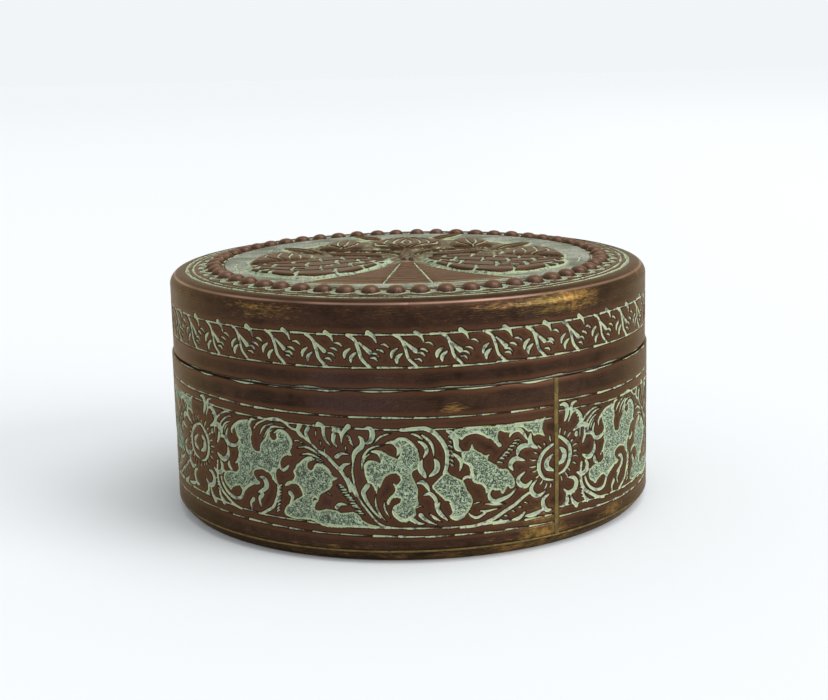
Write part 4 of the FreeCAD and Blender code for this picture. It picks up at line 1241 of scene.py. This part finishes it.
def seamBead(name, size, body, seed):
    # a section of two rows carried up the seam: the outer one is radius + dome * (1 - across squared)
    node = nodeOf(name)
    low, high = level(node, 0), level(node, 1)
    z = np.linspace(low, high, 140)
    across = np.linspace(-1, 1, 9)
    width = seamHalf * (0.86 + 0.14 * smoothNoise(z, 0 * z, 5, seed))
    lean = 0.12 * smoothNoise(z, 0 * z, 14, seed + 1)
    face = size["radius"] - 0.03 + 0.09 * (1 - across[None, :] ** 2)
    face = face + 0.03 * smoothNoise(across[None, :] * 0.6, z[:, None], 1.6, seed + 2)
    outer = np.stack([across[None, :] * width[:, None] + lean[:, None], face, z[:, None] + 0 * face], axis=-1)
    inner = outer[:, ::-1].copy()
    inner[..., 1] = size["radius"] - size["sheet"]
    section = np.concatenate([outer, inner], axis=1)
    angle = seamPlace(node) + section[..., 0] / size["radius"]
    radius = section[..., 1]
    points = np.stack([radius * np.sin(angle), -radius * np.cos(angle), section[..., 2]], axis=-1)
    rows, columns = radius.shape
    caps = [list(range(columns))[::-1], [(rows - 1) * columns + k for k in range(columns)]]
    quads = gridQuads(rows, columns, False, True)
    closedPiece(name, points.reshape(-1, 3), (quads, caps), {}, braze, body, [node])


seamBead("baseSeam", wallSize, "base", 21)
seamBead("lidSeam", lidSize, "lid", 24)


# Bottom, braze line and the plain turned pieces

wallInside = boxRadius - wallSize["sheet"]
sheetTop = level("insert_plate", 0)
panTop = level("floor_braze", 0)
wallFoot = level("base_wall", 0)
neckFoot, neckTop = level("neck", 0), level("neck", 1)
bore = reach("leaf_tray") - 0.5
trayFoot = level("tray_eye", 0) + 0.7
trayFloor = trayFoot + 0.8
trayTop = level("leaf_tray", 1)
trayRadius = reach("leaf_tray")
capFoot, capTop = level("lime_cap", 0), level("lime_cap", 1)
cupFoot, cupTop = level("lime_cup", 0), level("lime_cup", 1)
limeRadius = reach("lime_cup")
capRadius = reach("lime_cap")
plateRadius = reach("insert_plate")
floorRub = [
    (28, 1.2, 16, 1.6, 0.9), (2, 1.2, 26, 1.4, 0.7), (-24, 1.2, 14, 1.2, 0.5), (60, 1.4, 20, 1.3, 0.6),
    (-60, 1.2, 16, 1.2, 0.5), (120, 1.2, 30, 1.4, 0.6), (190, 1.2, 24, 1.4, 0.5),
]


def panInside(radius, height):
    # the part of the bottom that lies inside the wall, above its own sheet
    return (radius < wallInside + 0.1) & (height > 0.9)


turnedPiece("baseFloor", [
    (0, 0.03, 0), (boxRadius - 2.2, 0, 1.6), (boxRadius - 0.04, panTop - 0.1, 1.6),
    (boxRadius - 0.12, panTop, 0), (wallInside, panTop, 0), (wallInside, sheetTop, 0.4), (0, sheetTop, 0),
], 420, copper, "base", inside=panInside, spots=floorRub, steps=8)
turnedPiece("floorBraze", [
    (wallInside, panTop, 0), (boxRadius - 0.16, panTop, 0), (boxRadius - 0.02, panTop + 0.13, 0.1),
    (boxRadius - 0.05, wallFoot - 0.14, 0.1), (boxRadius - 0.2, wallFoot, 0), (wallInside, wallFoot, 0),
], 720, braze, "base", unevenness=0.1, steps=3)
turnedPiece("neck", [
    (neckRadius, neckFoot, 0.25), (neckRadius, neckTop, 0.35), (bore + 0.01, neckTop, 0.35),
    (bore + 0.01, neckFoot, 0.25),
], 420, tinned, "base")
turnedPiece("insertPlate", [
    (0, sheetTop, 0), (plateRadius, sheetTop, 0.3), (plateRadius, cupFoot, 0.3), (0, cupFoot, 0),
], 360, tinned, "insert")
turnedPiece("limeCup", [
    (0, cupFoot, 0), (limeRadius, cupFoot, 0.5), (limeRadius, cupTop, 0.3), (limeRadius - 0.7, cupTop, 0.3),
    (limeRadius - 0.7, cupFoot + 0.7, 1.6), (0, cupFoot + 0.7, 0),
], 240, tinned, "insert")
turnedPiece("limeCap", [
    (0, cupTop, 0), (capRadius - 0.7, cupTop, 0.3), (capRadius - 0.7, capFoot, 0.2),
    (capRadius, capFoot, 0.2), (capRadius, capTop, 0.6),
    (10.2, capTop, 0.2), (9.9, capTop - 0.16, 0.1), (9.6, capTop, 0.2),
    (6.2, capTop, 0.2), (5.9, capTop - 0.16, 0.1), (5.6, capTop, 0.2), (0, capTop, 0),
], 240, tinned, "lime_cap")
turnedPiece("leafTray", [
    (0, trayFoot, 0), (bore - 0.6, trayFoot, 1.4), (bore - 0.6, trayTop - 0.8, 0.1),
    (trayRadius, trayTop - 0.8, 0.3), (trayRadius, trayTop, 0.35), (bore - 1.4, trayTop, 0.6),
    (bore - 1.4, trayFloor, 1.8), (0, trayFloor, 0),
], 420, tinned, "tray")


# Wedge cups: six alike, each between two radii and two flanks, with its heart on the middle line

cupSize = {
    "count": 6, "corner": 1.5, "sheet": 0.7, "outer": plateRadius - 0.6, "inner": capRadius + 0.4,
    "side": 0.2, "heart": 35.0, "furthest": 30.0, "points": 160,
}


def cupOutline(inset):
    # where the rounded distance to the four sides, moved in by the inset, is 0: the length of the positive
    # parts of (distance + corner), less the corner; found by halving between the heart and the furthest point
    size = cupSize
    turn = np.arange(size["points"]) * fullTurn / size["points"]
    low, high = np.zeros(len(turn)), np.full(len(turn), size["furthest"])
    half, eased = math.pi / size["count"], min(inset, 1)
    for _ in range(30):
        reachOut = (low + high) / 2
        x, y = size["heart"] + reachOut * np.cos(turn), reachOut * np.sin(turn)
        flank = abs(y) * math.cos(half) - x * math.sin(half) + size["side"]
        sides = [np.hypot(x, y) - size["outer"], size["inner"] - x, flank]
        length = np.sqrt(sum(np.maximum(part + inset + size["corner"] - eased, 0) ** 2 for part in sides))
        within = length - size["corner"] + eased < 0
        low, high = np.where(within, reachOut, low), np.where(within, high, reachOut)
    return x, y


def wedgeCup(k):
    # rings of the outline at (inset, height), up the outside and down the inside
    sheet, place = cupSize["sheet"], fullTurn * (k + 0.5) / cupSize["count"]
    steps = [
        (1.0, cupFoot), (0.3, cupFoot + 0.2), (0, cupFoot + 0.8), (0, cupFoot + 8), (0, cupTop - 8),
        (0, cupTop - 0.3), (0.1, cupTop - 0.06), (0.35, cupTop), (0.6, cupTop - 0.06), (sheet, cupTop - 0.3),
        (sheet, cupTop - 8), (sheet, cupFoot + 8), (sheet, cupFoot + 2), (sheet + 0.3, cupFoot + 1.2),
        (sheet + 1.2, cupFoot + sheet),
    ]
    rows = []
    for inset, z in steps:
        x, y = cupOutline(inset)
        x, y = x * math.cos(place) - y * math.sin(place), x * math.sin(place) + y * math.cos(place)
        rows.append(np.stack([x, y, np.full(len(x), z)], axis=-1))
    count, last = cupSize["points"], len(rows) - 1
    faces = (gridQuads(len(rows), count, False, True),
             [list(range(count))[::-1], [last * count + c for c in range(count)]])
    name = "wedgeCup%d" % (k + 1)
    closedPiece(name, np.concatenate(rows), faces, {}, tinned, "insert", ["wedge_cup_%d" % (k + 1)])


# Tray ring: a wire bent into a ring, lying down towards the front with its far side a little lower

ringSize = {"wire": 0.73, "radius": 7.5, "half": 0.75, "around": 96, "across": 20}


def trayRing():
    # a torus, tilted about its near side so that it reaches from the lug down to the tray
    size = ringSize
    high = level("tray_ring", 1) - size["half"]
    low = level("tray_ring", 0) + size["half"]
    tilt = math.asin((high - low) / (2 * size["radius"]))
    around = (np.arange(size["around"]) * fullTurn / size["around"])[:, None]
    across = np.arange(size["across"]) * fullTurn / size["across"]
    span = size["radius"] + size["wire"] * np.cos(across)
    x, y = span * np.cos(around), span * np.sin(around) - size["radius"]
    z = size["wire"] * np.sin(across) + 0 * around
    cos, sin = math.cos(tilt), math.sin(tilt)
    points = np.stack([x, y * cos - z * sin, y * sin + z * cos + high], axis=-1).reshape(-1, 3)
    quads = gridQuads(size["around"], size["across"], True, True)
    closedPiece("trayRing", points, (quads, []), {}, brass, "tray_ring", ["tray_ring"])


print("cups and ring")
for k in range(cupSize["count"]):
    wedgeCup(k)
trayRing()


# Studio

studioLook = {
    "floorSize": 6, "floor": (0.86, 0.885, 0.91, 1),
    "glow": 0.07, "glowRight": 0.04, "glowColour": (0.9, 1, 1, 1),
    "seen": (0.93, 0.961, 0.981), "cast": (0.955, 0.955, 0.955),
    "seenStrength": 0.95, "mirrorStrength": 0.85, "castStrength": 0.55,
    "lamps": (("overheadLight", 1.2, 50, (0.36, -0.10, 0.93)), ("sideLight", 1.6, 40, (0.84, -0.44, 0.32))),
}


def studioFloor():
    # a pale floor; the camera sees it a little whiter near the box and to its right, fading into the backdrop
    look = studioLook
    bpy.ops.mesh.primitive_plane_add(size=look["floorSize"], location=(0, 0, 0))
    floor = bpy.context.object
    floor.name = "studioFloor"
    material = bpy.data.materials.new("paleFloor")
    material.use_nodes = True
    tree = material.node_tree
    shader = tree.nodes["Principled BSDF"]
    shader.inputs["Base Color"].default_value = look["floor"]
    shader.inputs["Roughness"].default_value = 0.9
    shader.inputs["Specular IOR Level"].default_value = 0
    place = tree.nodes.new("ShaderNodeTexCoord")
    parts = tree.nodes.new("ShaderNodeSeparateXYZ")
    tree.links.new(place.outputs["Object"], parts.inputs[0])
    x, y = parts.outputs[0], parts.outputs[1]
    away = calc(tree, "SQRT", calc(tree, "ADD", calc(tree, "POWER", x, 2.0), calc(tree, "POWER", y, 2.0)))
    near = calc(tree, "MULTIPLY", fade(tree, away, 2.4, 0.3), look["glow"])
    right = calc(tree, "MULTIPLY", fade(tree, away, 3.0, 0.8), look["glowRight"])
    right = calc(tree, "MULTIPLY", fade(tree, x, -0.05, 0.3), right)
    path = tree.nodes.new("ShaderNodeLightPath")
    glow = calc(tree, "MULTIPLY", calc(tree, "ADD", near, right), path.outputs["Is Camera Ray"])
    tree.links.new(glow, shader.inputs["Emission Strength"])
    shader.inputs["Emission Color"].default_value = look["glowColour"]
    floor.data.materials.append(material)


def studioLight():
    # an even pale world, brighter to the camera and in mirrors, and two broad soft lamps: above and right
    look, scene = studioLook, bpy.context.scene
    scene.view_settings.view_transform = "Standard"
    world = bpy.data.worlds.new("studioWorld")
    scene.world = world
    world.use_nodes = True
    tree = world.node_tree
    background = tree.nodes["Background"]
    path = tree.nodes.new("ShaderNodeLightPath")
    byCamera = path.outputs["Is Camera Ray"]
    mirrored = calc(tree, "MAXIMUM", path.outputs["Is Glossy Ray"], path.outputs["Is Transmission Ray"])
    strength = blendValue(tree, mirrored, look["castStrength"], look["mirrorStrength"])
    strength = blendValue(tree, byCamera, strength, look["seenStrength"])
    tree.links.new(strength, background.inputs["Strength"])
    tree.links.new(blendColour(tree, byCamera, look["cast"], look["seen"]), background.inputs["Color"])
    for name, energy, spread, aim in look["lamps"]:
        lamp = bpy.data.lights.new(name, "SUN")
        lamp.energy = energy
        lamp.angle = math.radians(spread)
        holder = bpy.data.objects.new(name, lamp)
        holder.rotation_euler = Vector(aim).to_track_quat("Z", "Y").to_euler()
        bpy.context.collection.objects.link(holder)


def photoCamera():
    # the photograph's viewpoint: from the front, a hand's breadth above the table, slightly rolled
    view = {"place": (0, -360.7, 108.05), "lens": 68.35, "pan": 0.164, "pitch": -11.71, "roll": -1.407}
    camera = bpy.data.cameras.new("photoCamera")
    camera.lens = view["lens"]
    camera.sensor_width = 36
    camera.clip_start = 0.01
    holder = bpy.data.objects.new("photoCamera", camera)
    turns = ((-view["pan"], "Z"), (90 + view["pitch"], "X"), (view["roll"], "Z"))
    pan, pitch, roll = (Matrix.Rotation(math.radians(angle), 4, axis) for angle, axis in turns)
    holder.matrix_world = Matrix.Translation([k * mm for k in view["place"]]) @ pan @ pitch @ roll
    bpy.context.collection.objects.link(holder)
    bpy.context.scene.camera = holder


print("studio")
studioFloor()
studioLight()
photoCamera()

# Finishes of the CAD nodes that stay
looks = {"chased_copper": copper, "tinned_copper": tinned, "turned_brass": brass, "braze_brass": braze}
for row in frame["record"]["subparts"]:
    node = frame["nodes"][row["node"]]
    node.data.materials.clear()
    node.data.materials.append(looks[row["material_slot"]]["material"])
print("finishes set")
